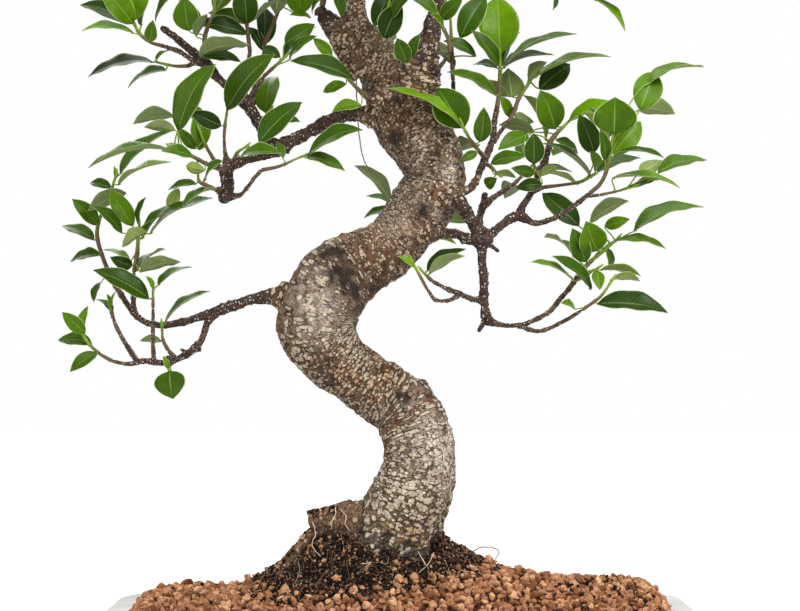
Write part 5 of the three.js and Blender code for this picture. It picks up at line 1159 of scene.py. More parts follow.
def petioleTube(shell, leaf, stemDirection, draw):
    # a cubic curve that leaves the stem between its own way and the blade's, and runs into the midrib
    gap = norm(leaf["base"] - leaf["attach"])
    start = unit(unit(leaf["base"] - leaf["attach"]) + 0.5 * stemDirection)
    ahead = leaf["base"] + leaf["along"] * min(2.5, 0.06 * leaf["length"]) - leaf["normal"] * 0.15
    second = leaf["attach"] + start * 0.35 * gap
    third = leaf["base"] - leaf["along"] * 0.3 * gap
    t = np.linspace(0, 1, petiole["rings"] + 1)[:, None]
    route = ((1 - t) ** 3 * leaf["attach"] + 3 * t * (1 - t) ** 2 * second
             + 3 * t ** 2 * (1 - t) * third + t ** 3 * ahead)
    radius = petiole["radius"] + (petiole["endRadius"] - petiole["radius"]) * t[:, 0]
    radius = radius * (1 + petiole["foot"] * np.exp(-t[:, 0] / 0.08)) * min(1, 0.55 + leaf["length"] / 90)
    shell.tube(route, petiole["sides"], radius, **notBlade, upper=0, age=leaf["age"],
               tone=draw.uniform(0, 1))


def stemTube(shell, plan, route, length):
    # the green stem, swollen where leaves leave it and woodier towards its foot
    radius = route[:, 3].copy()
    for leaf in plan["leaves"]:
        near = norm(route[:, :3] - leaf["attach"], axis=1)
        radius += stemSkin["nodeRise"] * np.exp(-(near / stemSkin["nodeWidth"]) ** 2)
    meanAge = np.mean([leaf["age"] for leaf in plan["leaves"]] or [0.3])
    age = atEnds((0.25 + 0.6 * length / length[-1]) * meanAge * 1.2, stemSkin["sides"], [0, 0])
    woody = atEnds(smoothStep(0.85, 0.35, length / length[-1]), stemSkin["sides"], [1, 0])
    shell.tube(route, stemSkin["sides"], radius, **notBlade, upper=0, age=age, tone=0.5, woody=woody)


def sheathTube(shell, tip, end):
    # the pointed sheath over the next leaf: a sine that starts wide, curving upward
    t = np.linspace(0, 1, budSheath["rings"])[:, None]
    lift = np.array([0, 0, budSheath["lift"]])
    route = tip + end * (t * budSheath["length"] - 0.5) + lift * t ** 2
    width = budSheath["width"] * np.sin(pi * (0.18 + 0.82 * t[:, 0])) ** 0.7 + 0.08
    shell.tube(route, budSheath["sides"], width, **notBlade, upper=0.3, age=0.8, tone=0.5)


leafShells = []
for index, plan in enumerate(plans):
    draw = np.random.default_rng(500 + index)
    shell = Shell()
    green = plan["green"].copy()
    end = unit(green[-1, :3] - green[-2, :3])
    green[:, 3] *= stemSkin["thicker"]
    route, length = smoothRoute(green, stemSkin["step"])
    stemTube(shell, plan, route, length)
    sheathTube(shell, green[-1, :3], end)
    for leaf in plan["leaves"]:
        near = np.argmin(norm(route[:, :3] - leaf["attach"], axis=1))
        direction = unit(route[min(near + 1, len(route) - 1), :3] - route[max(near - 1, 0), :3])
        petioleTube(shell, leaf, direction, draw)
        bladeShell(shell, leaf, draw)
    leafShells.append(shell)
print("foliage worked out:", sum(shell.count for shell in leafShells), "points")

# rim is the pale colour of the painted highlight along the blade's edge; on the underside it also colours
# the ribs and veins
leafColours = tints({
    "old": (47, 78, 4), "deep": (19, 38, 6), "young": (97, 138, 0), "middle": (68, 102, 0),
    "underOld": (112, 126, 88), "underYoung": (134, 152, 60), "rib": (156, 180, 104), "rim": (196, 212, 148),
    "petioleOld": (112, 130, 56), "petioleYoung": (134, 168, 48), "woody": (104, 84, 62),
})
skin = Finish("figLeaf", {
    "Specular IOR Level": 0.1, "Coat Weight": 0.04, "Coat Roughness": 0.25, "Subsurface Weight": 0.06,
    "Subsurface Radius": (0.0015, 0.0025, 0.0006)})
age, tone, upperSide = [skin.attribute(name) for name in ("age", "tone", "upper")]
onBlade = skin.add("SeparateXYZ", {0: skin.add("UVMap", uv_map="leafMap")}, "X")
across = abs(onBlade.line(2, -1))
alongLeaf = onBlade.of("Y")
top = skin.mix(tone, leafColours["old"], leafColours["deep"])
top = skin.mix(skin.ramp(age, 0, 0.6), top, leafColours["middle"])
top = skin.mix(skin.ramp(age, 0.4, 1), top, leafColours["young"])
top = skin.mottled(top, 14, 0.3)
under = skin.mottled(skin.mix(age, leafColours["underOld"], leafColours["underYoung"]), 9, 0.2)
# side veins leave the midrib at a slant, curve on towards the tip and stop short of the rim
veinPhase = skin.math("FRACT", (alongLeaf + across ** 1.25 * -0.16) * 15)
vein = 1 - skin.ramp(abs(veinPhase - 0.5), 0.02, 0.12)
vein = vein * (1 - skin.ramp(across, 0.82, 0.96))
# the midrib is about a millimetre wide, narrowing to the tip
rib = 1 - skin.ramp(across - alongLeaf.line(-0.03, 0.045), -0.02, 0.02)
# painted highlight: a pale line along the blade's edge, where light catches the rim
rim = skin.ramp(across, 0.93, 0.985)
for mask, amount, name in ((vein, 0.07, "rib"), (rib, 0.42, "rib"), (rim, 0.8, "rim")):
    top = skin.mix(mask * amount, top, leafColours[name])
for mask, amount in ((rib, 0.7), (vein, 0.12)):
    under = skin.mix(mask * amount, under, leafColours["rim"])
stalk = skin.mix(age, leafColours["petioleOld"], leafColours["petioleYoung"])
stalk = skin.mix(skin.attribute("woody"), stalk, leafColours["woody"])
skin.surface({
    "Base Color": skin.mix(skin.attribute("blade"), stalk, skin.mix(upperSide, under, top)),
    "Roughness": skin.noise(10, 2).line(0.08, upperSide.line(-0.24, 0.56))})
skin.bump(vein.line(-0.35, skin.noise(3, 2) * 0.25), 0.3, 0.5)
for plan, shell in zip(plans, leafShells):
    shell.piece("leaves_" + plan["name"], skin.material, "leaf", ["spray_" + plan["name"]], uv="leafMap")
print("foliage made")

# The tray: an outline with round corners, lofted up the wall, over a rounded lip and down inside.
tray = {"length": 520, "depth": 346, "height": 80, "taper": 10, "corner": 38, "rim": 35, "floor": 14,
        "innerCorner": 22, "band": 12, "lip": 3, "wear": 0.35, "chip": 0.175, "pit": 0.25,
        "wornRings": 20, "topRings": 15}
drain = {"x": 130, "radius": 14, "sides": 48, "below": 3, "above": 4, "grooveWidth": 12, "grooveDepth": 3}
screen = {"size": 44, "height": 1.6, "clear": 0.35, "gap": 2.1, "wires": 21, "wire": 0.42, "weave": 0.33,
          "points": 64, "sides": 5}


def roundedOutline(length, depth, corner, cornerSteps=10, sideSteps=18):
    # a quarter circle at each corner, and points evenly along each straight side
    middles = np.array([(1, 1), (-1, 1), (-1, -1), (1, -1)]) * (length / 2 - corner, depth / 2 - corner)
    share = (np.arange(1, sideSteps) / sideSteps)[:, None]
    points = []
    for quarter, middle in enumerate(middles):
        angle = (pi / 2) * (quarter + np.arange(cornerSteps + 1) / cornerSteps)
        arc = middle + corner * np.column_stack([np.cos(angle), np.sin(angle)])
        turn = (pi / 2) * (quarter + 1)
        start = middles[(quarter + 1) % 4] + corner * np.array([cos(turn), sin(turn)])
        points += [arc, arc[-1] * (1 - share) + start * share]
    return np.vstack(points)


def trayRings():
    # [inset of the outline, height] up the outside, then down the inside
    taper, top, lip, rim, bottom = [tray[key] for key in ("taper", "height", "lip", "rim", "floor")]
    band = top - tray["band"]
    outer = [(taper + 2, 0), (taper + 0.6, 0.6), (taper, 2)]
    outer += [(taper - (taper - 2) * part, 2 + (band - 4) * part) for part in np.linspace(0, 1, 9)[1:]]
    outer += [(1, band - 0.9), (0.1, band + 0.3), (0, band + 1.5), (0, band + 5), (0, top - lip - 1.5)]
    outer += [(lip * (1 - cos(angle)), top - lip * (1 - sin(angle)))
              for angle in np.linspace(0, pi / 2, 6)[1:]]
    inner = [(8, top), (16, top), (24, top), (rim - 1.4, top), (rim - 0.5, top - 0.4), (rim, top - 1.6),
             (rim, top - 30), (rim, bottom + 2), (rim + 1, bottom)]
    narrowed = tray["innerCorner"] - tray["corner"] + 2
    corners = [tray["corner"] - inset / 2 for inset, _ in outer]
    corners += [tray["corner"] - 2 + narrowed * (inset / rim) for inset, _ in inner]
    rings = []
    for (inset, height), corner in zip(outer + inner, corners):
        outline = roundedOutline(tray["length"] - 2 * inset, tray["depth"] - 2 * inset, corner)
        rings.append(np.column_stack([outline, np.full(len(outline), height)]))
    return np.array(rings)


rings = trayRings()
count, around = rings.shape[:2]
ringNumber = np.arange(count)[:, None]
wear = tray["wear"] * ripple(rings, 60, 71) + tray["chip"] * ripple(rings, 9, 72)
outwardWay = unit(rings[:, :, :2])
up = rings[..., 2]
onWall = (up > 1) & (up < tray["height"] - 0.1) & (ringNumber < tray["wornRings"])
rings[..., :2] -= outwardWay * np.abs(wear)[..., None] * onWall[..., None]
onTop = (up > tray["height"] - 1) & (ringNumber >= tray["topRings"])
up -= np.where(onTop, tray["pit"] * np.abs(ripple(rings, 7, 73)), 0)
middles = [[0, 0, tray["floor"]], [0, 0, 0]]
potShell = Shell()
potShell.add(np.vstack([rings.reshape(-1, 3), middles]), domeFaces(count, around))

stone = Finish("figTrayStone", {"Roughness": 0.82, "Specular IOR Level": 0.3})
grain = stone.noise(26, 6, 0.65, (0.12, 0.12, 1.6))
specks = stone.noise(1.6, 2, 0.5)
colour = stone.mottled(tint(186, 186, 184), 60, 0.16)
colour = stone.mix(stone.ramp(grain, 0.35, 0.7), colour, tint(206, 206, 203))
colour = stone.mix(stone.ramp(specks, 0.62, 0.72) * 0.5, colour, tint(122, 120, 116))
stone.surface({"Base Color": colour})
stone.bump(grain + specks * 0.6, 0.35, 0.6)
pot = potShell.piece("stone_tray", stone.material, "tray_stone", ["pot"])


def cutAway(piece, cutter):
    # the cutter's volume goes out of the piece, and the cutter goes too
    modifier = piece.modifiers.new("cut", "BOOLEAN")
    modifier.object = cutter
    modifier.solver = "EXACT"
    bpy.context.view_layer.objects.active = piece
    for other in bpy.context.selected_objects:
        other.select_set(False)
    piece.select_set(True)
    bpy.ops.object.modifier_apply(modifier=modifier.name)
    bpy.data.objects.remove(cutter)


for x in (-drain["x"], drain["x"]):
    angle = circle(drain["sides"])
    ring = np.column_stack([x + drain["radius"] * np.cos(angle), drain["radius"] * np.sin(angle), 0 * angle])
    side = np.arange(drain["sides"])
    faces = wallFaces(2, drain["sides"]).tolist()
    faces += [side[::-1].tolist(), (side + drain["sides"]).tolist()]
    cylinder = np.vstack([ring - [0, 0, drain["below"]], ring + [0, 0, tray["floor"] + drain["above"]]])
    cutAway(pot, addMesh("holeCutter", cylinder, faces))
    half = np.array([drain["grooveWidth"] / 2, tray["depth"] / 2 + 1, drain["grooveDepth"]])
    corners = np.array([[sx, sy, sz] for sz in (-1, 1) for sy in (-1, 1) for sx in (-1, 1)]) * half
    cutAway(pot, addMesh("grooveCutter", corners + [x, 0, 0], [
        [0, 2, 3, 1], [4, 5, 7, 6], [0, 1, 5, 4], [2, 6, 7, 3], [0, 4, 6, 2], [1, 3, 7, 5]]))

# Woven drainage screens: two sets of wires that pass over and under each other.
screenFinish = Finish("figScreen", {"Base Color": tint(38, 42, 38), "Roughness": 0.6})
middle = tray["floor"] + screen["clear"] + screen["height"] / 2
t = np.linspace(-screen["size"] / 2, screen["size"] / 2, screen["points"])
offsets = (np.arange(screen["wires"]) - screen["wires"] // 2) * screen["gap"]
for name, x in (("left", -drain["x"]), ("right", drain["x"])):
    shell = Shell()
    for index, offset in enumerate(offsets):
        lift = screen["weave"] * np.cos(pi * t / screen["gap"] + pi * index)
        for route in (np.column_stack([x + t, 0 * t + offset, middle + lift]),
                      np.column_stack([x + 0 * t + offset, t, middle - lift])):
            shell.tube(route, screen["sides"], np.full(screen["points"], screen["wire"]))
    shell.piece("screen_mesh_" + name, screenFinish.material, "screen", ["drain_screen_" + name])
print("tray and screens made")

# Soil. The bed and the mound keep their imported solids' form, dark, and grains lie half sunk over them; the
# bed's dark colour is painted shade in the gaps between the grains.
bed = {"length": 450, "depth": 276, "edgeHeight": 83, "rise": 25, "tilt": 4, "relief": 1.6, "heap": 14,
       "heapWidth": 0.42, "heapAt": 0.95, "margin": 2.5, "under": 1.4, "aboveFloor": 2.4}
bedCorner = np.array([bed["length"], bed["depth"]]) / 2
mound = {"x": -25, "y": 4, "halfLength": 115, "halfDepth": 76, "rise": 84, "flatShare": 0.4,
         "relief": 1.5, "under": 0.6, "floor": 60}
akadama = {"count": 6400, "gap": 4.7, "small": 2.2, "large": 4, "sunk": 0.25, "upperGap": 9,
           "upperShare": 0.9, "ends": 1200, "pieces": 4, "form": (7, 3), "rough": 0.4}
crumb = {"count": 5200, "gap": 2.1, "small": 0.9, "large": 3, "clinging": 420, "onRoot": 230,
         "form": (5, 2), "rough": 0.35}
# crumbs on the akadama: some within a part of the picture, some anywhere
stray = {"seen": 60, "across": (560, 655), "down": 590, "depth": (-120, 60), "anywhere": 160,
         "reach": np.array([220, 130]), "margin": 6, "lift": 3.2}
bit = {"count": 9000, "gap": 1.3, "small": 0.5, "large": 1.3, "form": (4, 1), "rough": 0.3}


def bedHeight(x, y):
    # a dome heaped over the rim, with a swell at the right and in front of the mound
    along = np.minimum(1, np.abs(x) / bedCorner[0])
    deep = np.minimum(1, np.abs(y) / bedCorner[1])
    shoulder = (1 - along ** 24) ** 0.8 * (1 - deep ** 1.3)
    waves = np.sin(0.31 * x + 1.7) * np.sin(0.37 * y + 0.4) + np.sin(0.173 * x - 0.219 * y)
    rise = bed["rise"] + bed["tilt"] * (x / bed["length"]) * 2 + bed["relief"] * waves
    angle = np.arctan2(y - mound["y"], x - mound["x"])
    share = np.hypot((x - mound["x"]) / mound["halfLength"], (y - mound["y"]) / mound["halfDepth"])
    away = (share - bed["heapAt"]) / bed["heapWidth"]
    heap = bed["heap"] * np.maximum(0, np.cos(angle + pi / 4)) * np.exp(-(away ** 2))
    return bed["edgeHeight"] + rise * shoulder + heap * (1 - deep ** 4)


def moundWave(angle):
    # how the mound's edge goes in and out round it
    return 1 + 0.03 * np.sin(3 * angle + 1) + 0.02 * np.sin(7 * angle)


def moundLevel(x, y):
    # 0 at the mound's middle, 1 at its edge
    right = (x - mound["x"]) / mound["halfLength"]
    back = (y - mound["y"]) / mound["halfDepth"]
    return np.hypot(right, back) / moundWave(np.arctan2(back, right))


def groundHeight(x, y):
    # the bed, with the mound on it where that stands higher
    level = moundLevel(x, y)
    lift = mound["rise"] * (1 - np.clip(level, mound["flatShare"], 1)) ** 1.2
    lift += mound["relief"] * np.sin(0.2 * x) * np.cos(0.23 * y)
    return bedHeight(x, y) + np.where(level < 1, lift, 0)


def onGround(flat, lift):
    # places on the ground, raised by this much
    return np.column_stack([flat, groundHeight(flat[:, 0], flat[:, 1]) + lift])


def roundStone(around, rings):
    # a ball: rings of points between two poles, closed with triangles
    rise = np.pi * (np.arange(rings) + 1) / (rings + 1)
    turned = circle(around)[None] + (np.arange(rings) % 2)[:, None] * (pi / around)
    grid = np.stack([np.sin(rise)[:, None] * np.cos(turned), np.sin(rise)[:, None] * np.sin(turned),
                     np.broadcast_to(np.cos(rise)[:, None], turned.shape)], -1)
    pole = rings * around
    side = np.arange(around)
    beyond = (side + 1) % around
    faces = [fan(around, 0, pole)]
    for ring in range(rings - 1):
        a, b = ring * around + side, ring * around + beyond
        c, d = a + around, b + around
        pairs = [(a, c, b), (b, c, d)] if ring % 2 == 0 else [(a, d, b), (a, c, d)]
        faces += [np.stack(corners, -1) for corners in pairs]
    faces.append(fan(around, rings - 1, pole + 1, turned=True))
    return np.vstack([grid.reshape(-1, 3), [[0, 0, 1], [0, 0, -1]]]), np.vstack(faces)


def turns(draw, count):
    # even random turns, as matrices made from random quaternions
    w, x, y, z = unit(draw.normal(size=(count, 4))).T
    return np.stack([
        np.stack([1 - 2 * (y * y + z * z), 2 * (x * y - w * z), 2 * (x * z + w * y)], -1),
        np.stack([2 * (x * y + w * z), 1 - 2 * (x * x + z * z), 2 * (y * z - w * x)], -1),
        np.stack([2 * (x * z - w * y), 2 * (y * z + w * x), 1 - 2 * (x * x + y * y)], -1)], 1)


def scatter(shell, kind, centres, sizes, tone):
    # lumpy stones: nine sets of lumps are shared out, and each stone is turned and stretched its own way
    ball, faces = roundStone(*kind["form"])
    lumpy = [ball * (1 + kind["rough"] * ripple(ball, 1.5, 900 + index)[:, None]) for index in range(9)]
    count = len(centres)
    stretch = 1 + draw.uniform(-0.3, 0.3, (count, 1, 3))
    shapes = np.array(lumpy)[np.arange(count) % 9] * stretch
    places = np.einsum("nij,nkj->nki", turns(draw, count), shapes) * sizes[:, None, None]
    shift = np.arange(count)[:, None, None] * len(ball)
    shell.add(places + centres[:, None], [(faces[None] + shift).reshape(-1, 3)],
              tone=np.repeat(tone, len(ball)))


def spread(count, gap, accept):
    # points thrown over the bed, each kept if it is accepted and lies a gap from the ones before
    kept = {}
    points = []
    for x, y in draw.uniform(-bedCorner, bedCorner, (count * 6, 2)):
        cell = (int(x // gap), int(y // gap))
        around = [(cell[0] + i, cell[1] + j) for i in (-1, 0, 1) for j in (-1, 0, 1)]
        near = [kept[other] for other in around if other in kept]
        if any((x - a) ** 2 + (y - b) ** 2 < gap ** 2 for a, b in near) or not accept(x, y):
            continue
        kept[cell] = (x, y)
        points.append((x, y))
        if len(points) == count:
            break
    return np.array(points)


trunkFoot = [398, 550, 0, 90]
footCentre = placesOf([trunkFoot])[0]
draw = np.random.default_rng(41)


def onBed(x, y):
    # outside the mound's ragged edge, with a few grains a little way in
    level = moundLevel(x, y)
    ragged = 0.97 + 0.06 * sin(0.11 * x) * cos(0.13 * y)
    outside = level > ragged or (level > 0.86 and draw.uniform() < 0.22)
    return outside and (np.abs([x, y]) < bedCorner - bed["margin"]).all()


def onMound(x, y):
    # on the mound, but not inside the trunk's foot
    fromFoot = hypot(x - footCentre[0], y - footCentre[1])
    return moundLevel(x, y) < 1.02 and fromFoot > footCentre[3] - 1


flat = spread(akadama["count"], akadama["gap"], onBed)
size = draw.uniform(akadama["small"], akadama["large"], len(flat))
centres = onGround(flat, -akadama["sunk"] * size)
# a second layer rides on the first, sparser, so that the heap looks loose
upper = spread(akadama["count"] // 3, akadama["upperGap"], onBed)
upperSize = draw.uniform(akadama["small"], akadama["large"] * akadama["upperShare"], len(upper))
upperCentres = onGround(upper, 0.9 * upperSize)
# and more cover the two ends, where the bed drops steeply to the rim
share = draw.uniform(0.02, 0.95, akadama["ends"])
sideways = np.where(np.arange(akadama["ends"]) % 2, 1, -1)
endX = sideways * bedCorner[0] * (1 - share ** 1.25) ** (1 / 24)
endY = draw.uniform(-bedCorner[1], bedCorner[1], akadama["ends"])
endSize = draw.uniform(akadama["small"], akadama["large"], akadama["ends"])
endCentres = np.column_stack([endX, endY, bedHeight(endX, endY) - 0.1 * endSize])
centres = np.vstack([centres, upperCentres, endCentres])
size = np.concatenate([size, upperSize, endSize])
limits = bedCorner - 0.6 - size[:, None]
centres[:, :2] = np.clip(centres[:, :2], -limits, limits)
tone = draw.uniform(0, 1, len(centres))
print("akadama grains:", len(centres))

# a soil's colours from dark to light, by each grain's own tone
soilColours = {
    "figAkadama": [(126, 82, 54), (178, 126, 90), (212, 166, 126)],
    # the bed under the grains: akadama dust, darker than any grain, which paints the shade between them
    "figAkadamaDust": [(70, 42, 26), (84, 52, 34), (110, 72, 48)],
    "figPeat": [(19, 14, 12), (60, 44, 34), (200, 152, 110)],
}
soils = []
for name, colours in soilColours.items():
    low, middle, high = [tint(*values) for values in colours]
    soil = Finish(name, {"Roughness": 0.92, "Specular IOR Level": 0.15})
    ownTone = soil.attribute("tone")
    colour = soil.mix(soil.ramp(ownTone, 0, 0.55), low, middle)
    colour = soil.mix(soil.ramp(ownTone, 0.6, 1), colour, high)
    if name == "figPeat":
        colour = soil.mix(soil.ramp(soil.noise(2.2, 2), 0.6, 0.68) * 0.5, colour, high)
    soil.surface({"Base Color": soil.mottled(colour, 2.4, 0.8)})
    soil.bump(soil.noise(1.4, 4, 0.7), 0.8, 0.9)
    soils.append(soil.material)
akadamaSoil, akadamaDustAndShade, peat = soils

for index, chosen in enumerate(np.array_split(np.argsort(centres[:, 0]), akadama["pieces"]), 1):
    shell = Shell()
    scatter(shell, akadama, centres[chosen], size[chosen], tone[chosen])
    shell.piece("akadama_grains_" + str(index), akadamaSoil, "akadama", smooth=False)

# Crumbs of peat and bark over the mound, more small ones than large.
crumbPlaces = spread(crumb["count"], crumb["gap"], onMound)
share = draw.uniform(0, 1, len(crumbPlaces)) ** 2.6
crumbSize = crumb["small"] + (crumb["large"] - crumb["small"]) * share
crumbCentres = onGround(crumbPlaces, 0.1 * crumbSize)
# some have rolled on to the akadama, most of them at the right
across = draw.uniform(*stray["across"], stray["seen"])
depth = draw.uniform(*stray["depth"], stray["seen"])
flat = [place(one, stray["down"], other)[:2] for one, other in zip(across, depth)]
flat = np.vstack([flat, draw.uniform(-stray["reach"], stray["reach"], (stray["anywhere"], 2))])
inside = (np.abs(flat) < bedCorner - stray["margin"]).all(axis=1)
strayCentres = onGround(flat, stray["lift"])[inside]
shell = Shell()
scatter(shell, crumb, crumbCentres, crumbSize, draw.uniform(0, 1, len(crumbCentres)) ** 1.3)
# crumbs that cling to the trunk's foot and to the top of the roots
count = crumb["clinging"]
turn = draw.uniform(-pi, pi, count)
fromFoot = np.column_stack([np.cos(turn), np.sin(turn)]) * (footCentre[3] + draw.uniform(-2, 3, (count, 1)))
climb = 7 * draw.uniform(0, 1, count) ** 2
clinging = footCentre[:2] + fromFoot
clinging -= (clinging - footCentre[:2]) * (0.012 * climb[:, None])
scatter(shell, crumb, onGround(clinging, climb), draw.uniform(0.9, 2.4, count),
        draw.uniform(0, 0.8, count) ** 1.5)
count = crumb["onRoot"]
for route in roots:
    line, _ = smoothRoute(placesOf(route), 1.2)
    chosen = line[draw.integers(len(line) // 4, len(line), count)]
    turn = draw.uniform(0.15 * pi, 1.1 * pi, count)
    outwardWay = np.column_stack([np.zeros(count), -np.cos(turn - 0.5), np.sin(turn)])
    onRoot = chosen[:, :3] + outwardWay * (chosen[:, 3:4] + 0.4)
    scatter(shell, crumb, onRoot, draw.uniform(0.6, 1.7, count), draw.uniform(0, 1, count))
count = len(strayCentres)
scatter(shell, crumb, strayCentres, draw.uniform(1, 2.2, count), draw.uniform(0, 0.5, count))
shell.piece("peat_crumbs", peat, "peat", smooth=False)
# finer bits between them, with only eight faces each
bitPlaces = spread(bit["count"], bit["gap"], onMound)
bitSize = draw.uniform(bit["small"], bit["large"], len(bitPlaces))
bitCentres = onGround(bitPlaces, draw.uniform(0.2, 2, len(bitPlaces)))
shell = Shell()
scatter(shell, bit, bitCentres, bitSize, draw.uniform(0, 1, len(bitPlaces)))
shell.piece("peat_bits", peat, "peat", smooth=False)
print("soil crumbs:", len(crumbCentres) + len(strayCentres) + len(bitPlaces))


# Under the grains: a finer bed and mound, a little lower than the grains' own ground. The bed is dark
# akadama dust, and painted shade where it shows between the grains.
def heapShell(grid, floorHeight):
    # rings of points going inward, closed by a point on top, and by a flat underside
    under = grid[0].copy()
    under[:, 2] = floorHeight
    shell = Shell()
    shell.add(np.vstack([under, grid.reshape(-1, 3), [grid[-1].mean(0)], [under.mean(0)]]),
              domeFaces(len(grid) + 1, len(under)), tone=0)
    return shell


levels = np.linspace(1, 0.02, 60)[:, None, None]
flatPlaces = roundedOutline(bed["length"] - 0.7, bed["depth"] - 0.7, tray["innerCorner"])[None] * levels
heap = np.dstack([flatPlaces, bedHeight(flatPlaces[..., 0], flatPlaces[..., 1]) - bed["under"]])
under = heapShell(heap, tray["floor"] + bed["aboveFloor"])
under.piece("akadama_under", akadamaDustAndShade, "akadama", ["akadama_bed"])
angle = circle(120)
levels = np.linspace(1, 0.02, 50)[:, None]
flatPlaces = np.dstack([mound["x"] + mound["halfLength"] * levels * (moundWave(angle) * np.cos(angle))[None],
                        mound["y"] + mound["halfDepth"] * levels * (moundWave(angle) * np.sin(angle))[None]])
heap = np.dstack([flatPlaces, groundHeight(flatPlaces[..., 0], flatPlaces[..., 1])])
heap[..., 2] += 1.3 * ripple(heap, 9, 51) + 0.7 * ripple(heap, 3.5, 52) - mound["under"]
heapShell(heap, mound["floor"]).piece("peat_mound", peat, "peat", ["root_ball"])
print("soil made")

# Fine things that lie on the soil and the trunk: rootlets, a dry root and one hanging aerial root,
# as [across, down, depth, width] routes like the trunk's.
fineRoots = [
    [[336, 507, -22, 1.3], [335, 515, -24, 1.1], [332, 522, -24, 1], [331, 530, -22, 0.8]],
    [[340, 509, -20, 0.9], [346, 516, -24, 0.9], [345, 524, -26, 0.8], [350, 531, -24, 0.6]],
    [[361, 562, -46, 1], [368, 564, -48, 1.1], [370, 569, -50, 1], [365, 574, -52, 0.7]],
    [[418, 551, -40, 0.8], [425, 559, -44, 0.9], [432, 566, -48, 0.8], [436, 573, -50, 0.6]],
    [[434, 553, -42, 0.8], [427, 562, -46, 0.8], [419, 571, -52, 0.6]],
    [[440, 548, -10, 1.6], [452, 545, -12, 1.5], [468, 549, -14, 1.5], [482, 547, -14, 1.4],
     [497, 549, -14, 1.3], [498, 555, -14, 1.1], [494, 561, -14, 0.9]],
    [[312, 522, -26, 0.9], [316, 533, -26, 0.9], [312, 545, -30, 0.8], [320, 556, -36, 0.6]],
]
aerialRoot = [[356, 80, -24, 1.6], [357, 100, -30, 1.4], [358, 121, -33, 1.4], [360, 141, -34, 1.4],
              [364, 160, -34, 1.3], [373, 176, -34, 1]]
strand = {"sides": 6, "lift": 2.2, "reach": 5, "darkRoot": 5}
hair = {"count": 230, "shortest": 6, "longest": 24, "thin": 0.12, "thick": 0.26, "rise": 3.5, "lift": 0.9,
        "sides": 4}


def strandTube(shell, stations, step, sway, size, seed, tone):
    # a thin tube whose middle line wavers
    line, _ = smoothRoute(stations, step)
    line[:, :3] += sway * np.column_stack([ripple(line[:, :3], size, seed + k) for k in range(3)])
    shell.tube(line, strand["sides"], line[:, 3], tone=tone)


strandShell = Shell()
for index, route in enumerate(fineRoots):
    stations = placesOf(route)
    lying = groundHeight(stations[:, 0], stations[:, 1]) + strand["lift"]
    stations[:, 2] = np.where(stations[:, 2] < lying + strand["reach"], lying, stations[:, 2])
    strandTube(strandShell, stations, 1, 0.35, 6, 300 + index, 0 if index == strand["darkRoot"] else 1)
# hair roots lie over the mound, most of them near its edge: each bends twice and rises in the middle
draw = np.random.default_rng(77)
t = np.linspace(0, 1, 9)[:, None]
for _ in range(hair["count"]):
    turn = draw.uniform(-pi, pi)
    away = draw.uniform(0.45, 1)
    start = np.array([mound["x"] + mound["halfLength"] * away * cos(turn),
                      mound["y"] + mound["halfDepth"] * away * sin(turn)])
    way = draw.uniform(-pi, pi)
    long = draw.uniform(hair["shortest"], hair["longest"])
    ahead = np.array([cos(way), sin(way)])
    aside = np.array([-ahead[1], ahead[0]])
    bends = draw.uniform(-1, 1) * np.sin(pi * t) + draw.uniform(-0.6, 0.6) * np.sin(2 * pi * t)
    route = onGround(start + ahead * long * (t - 0.5) + aside * (0.22 * long * bends), hair["lift"])
    route[:, 2] += hair["rise"] * draw.uniform(0, 1) * np.sin(pi * t[:, 0])
    radius = np.full(len(t), draw.uniform(hair["thin"], hair["thick"]))
    if np.hypot(route[:, 0] - footCentre[0], route[:, 1] - footCentre[1]).min() >= footCentre[3] - 2:
        strandShell.tube(route, hair["sides"], radius, tone=0.7 * draw.uniform(0, 1) ** 2)
strandTube(strandShell, placesOf(aerialRoot), 1.2, 0.3, 8, 320, 0)
rootlet = Finish("figRootlet", {"Roughness": 0.8})
colour = rootlet.mix(rootlet.attribute("tone"), tint(104, 74, 52), tint(214, 196, 168))
rootlet.surface({"Base Color": rootlet.mottled(colour, 4, 0.4)})
strandShell.piece("rootlets", rootlet.material, "bark")
print("rootlets made")

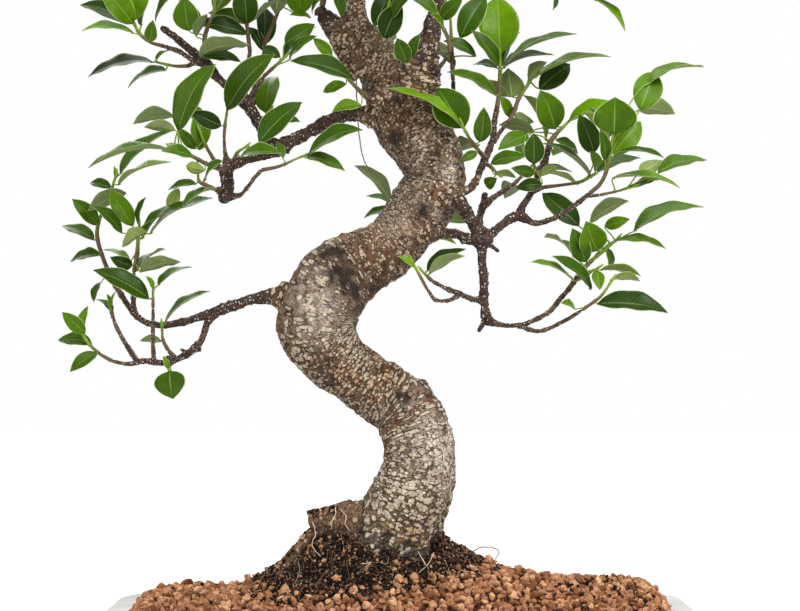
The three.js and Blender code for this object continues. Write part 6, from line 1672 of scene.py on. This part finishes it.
# Floor, backdrop, lights and camera
studio = {"floorReach": 6000, "glowFrom": 0.5, "glowTo": 1.5, "glow": 0.75, "world": 0.5}
studioFloor = addMesh("studio_floor", np.array([(-1, -1, 0), (1, -1, 0), (1, 1, 0), (-1, 1, 0)])
                      * studio["floorReach"], [(0, 1, 2, 3)])
floorFinish = Finish("figFloor", {"Base Color": (0.88, 0.88, 0.88), "Roughness": 0.9,
                                  "Emission Color": (1, 1, 1)})
# away from the pot the floor glows a little, so that it runs into the white behind it
fromPot = floorFinish.vector("LENGTH", floorFinish.place(), output="Value")
glow = floorFinish.ramp(fromPot, studio["glowFrom"], studio["glowTo"])
glow = glow * floorFinish.add("LightPath", output="Is Camera Ray")
floorFinish.surface({"Emission Strength": glow * studio["glow"]})
studioFloor.data.materials.append(floorFinish.material)

# place and what it looks at in millimetres, width of the lamp, watts
lamps = {
    "key_light": ((800, -1000, 1500), (0, 0, 330), 800, 27),
    "fill_light": ((-1200, -1100, 800), (0, 0, 330), 900, 7),
    "top_light": ((100, 200, 1700), (0, 0, 300), 900, 10),
    "back_light": ((-500, 1150, 1300), (0, 0, 380), 800, 8),
}
for name, (spot, target, size, power) in lamps.items():
    lamp = bpy.data.lights.new(name, "AREA")
    lamp.size = size * metres
    lamp.energy = power
    holder = addObject(name, lamp)
    holder.location = [value * metres for value in spot]
    holder.rotation_euler = (Vector(target) - Vector(spot)).to_track_quat("-Z", "Y").to_euler()
# the world looks pure white and lights the scene with less than that
world = bpy.data.worlds.new("figWorld")
world.use_nodes = True
sky = Shading(world.node_tree)
seen = sky.add("LightPath", output="Is Camera Ray")
background = sky.tree.nodes["Background"]
sky.fill(background.inputs["Color"], (1, 1, 1))
sky.fill(background.inputs["Strength"], seen.line(1 - studio["world"], studio["world"]))
bpy.context.scene.world = world
bpy.context.scene.view_settings.view_transform = "Standard"

sensorWidth = 36
pictureWidth = 800
lens = bpy.data.cameras.new("photo_camera")
lens.sensor_width = sensorWidth
lens.lens = sensorWidth * eye["focal"] / pictureWidth
lens.clip_end = 50
camera = addObject("photo_camera", lens)
camera.location = (0, -eye["distance"] * metres, eye["height"] * metres)
camera.rotation_euler = (radians(90 + eye["upDegrees"]), 0, 0)
bpy.context.scene.camera = camera
print("studio made")
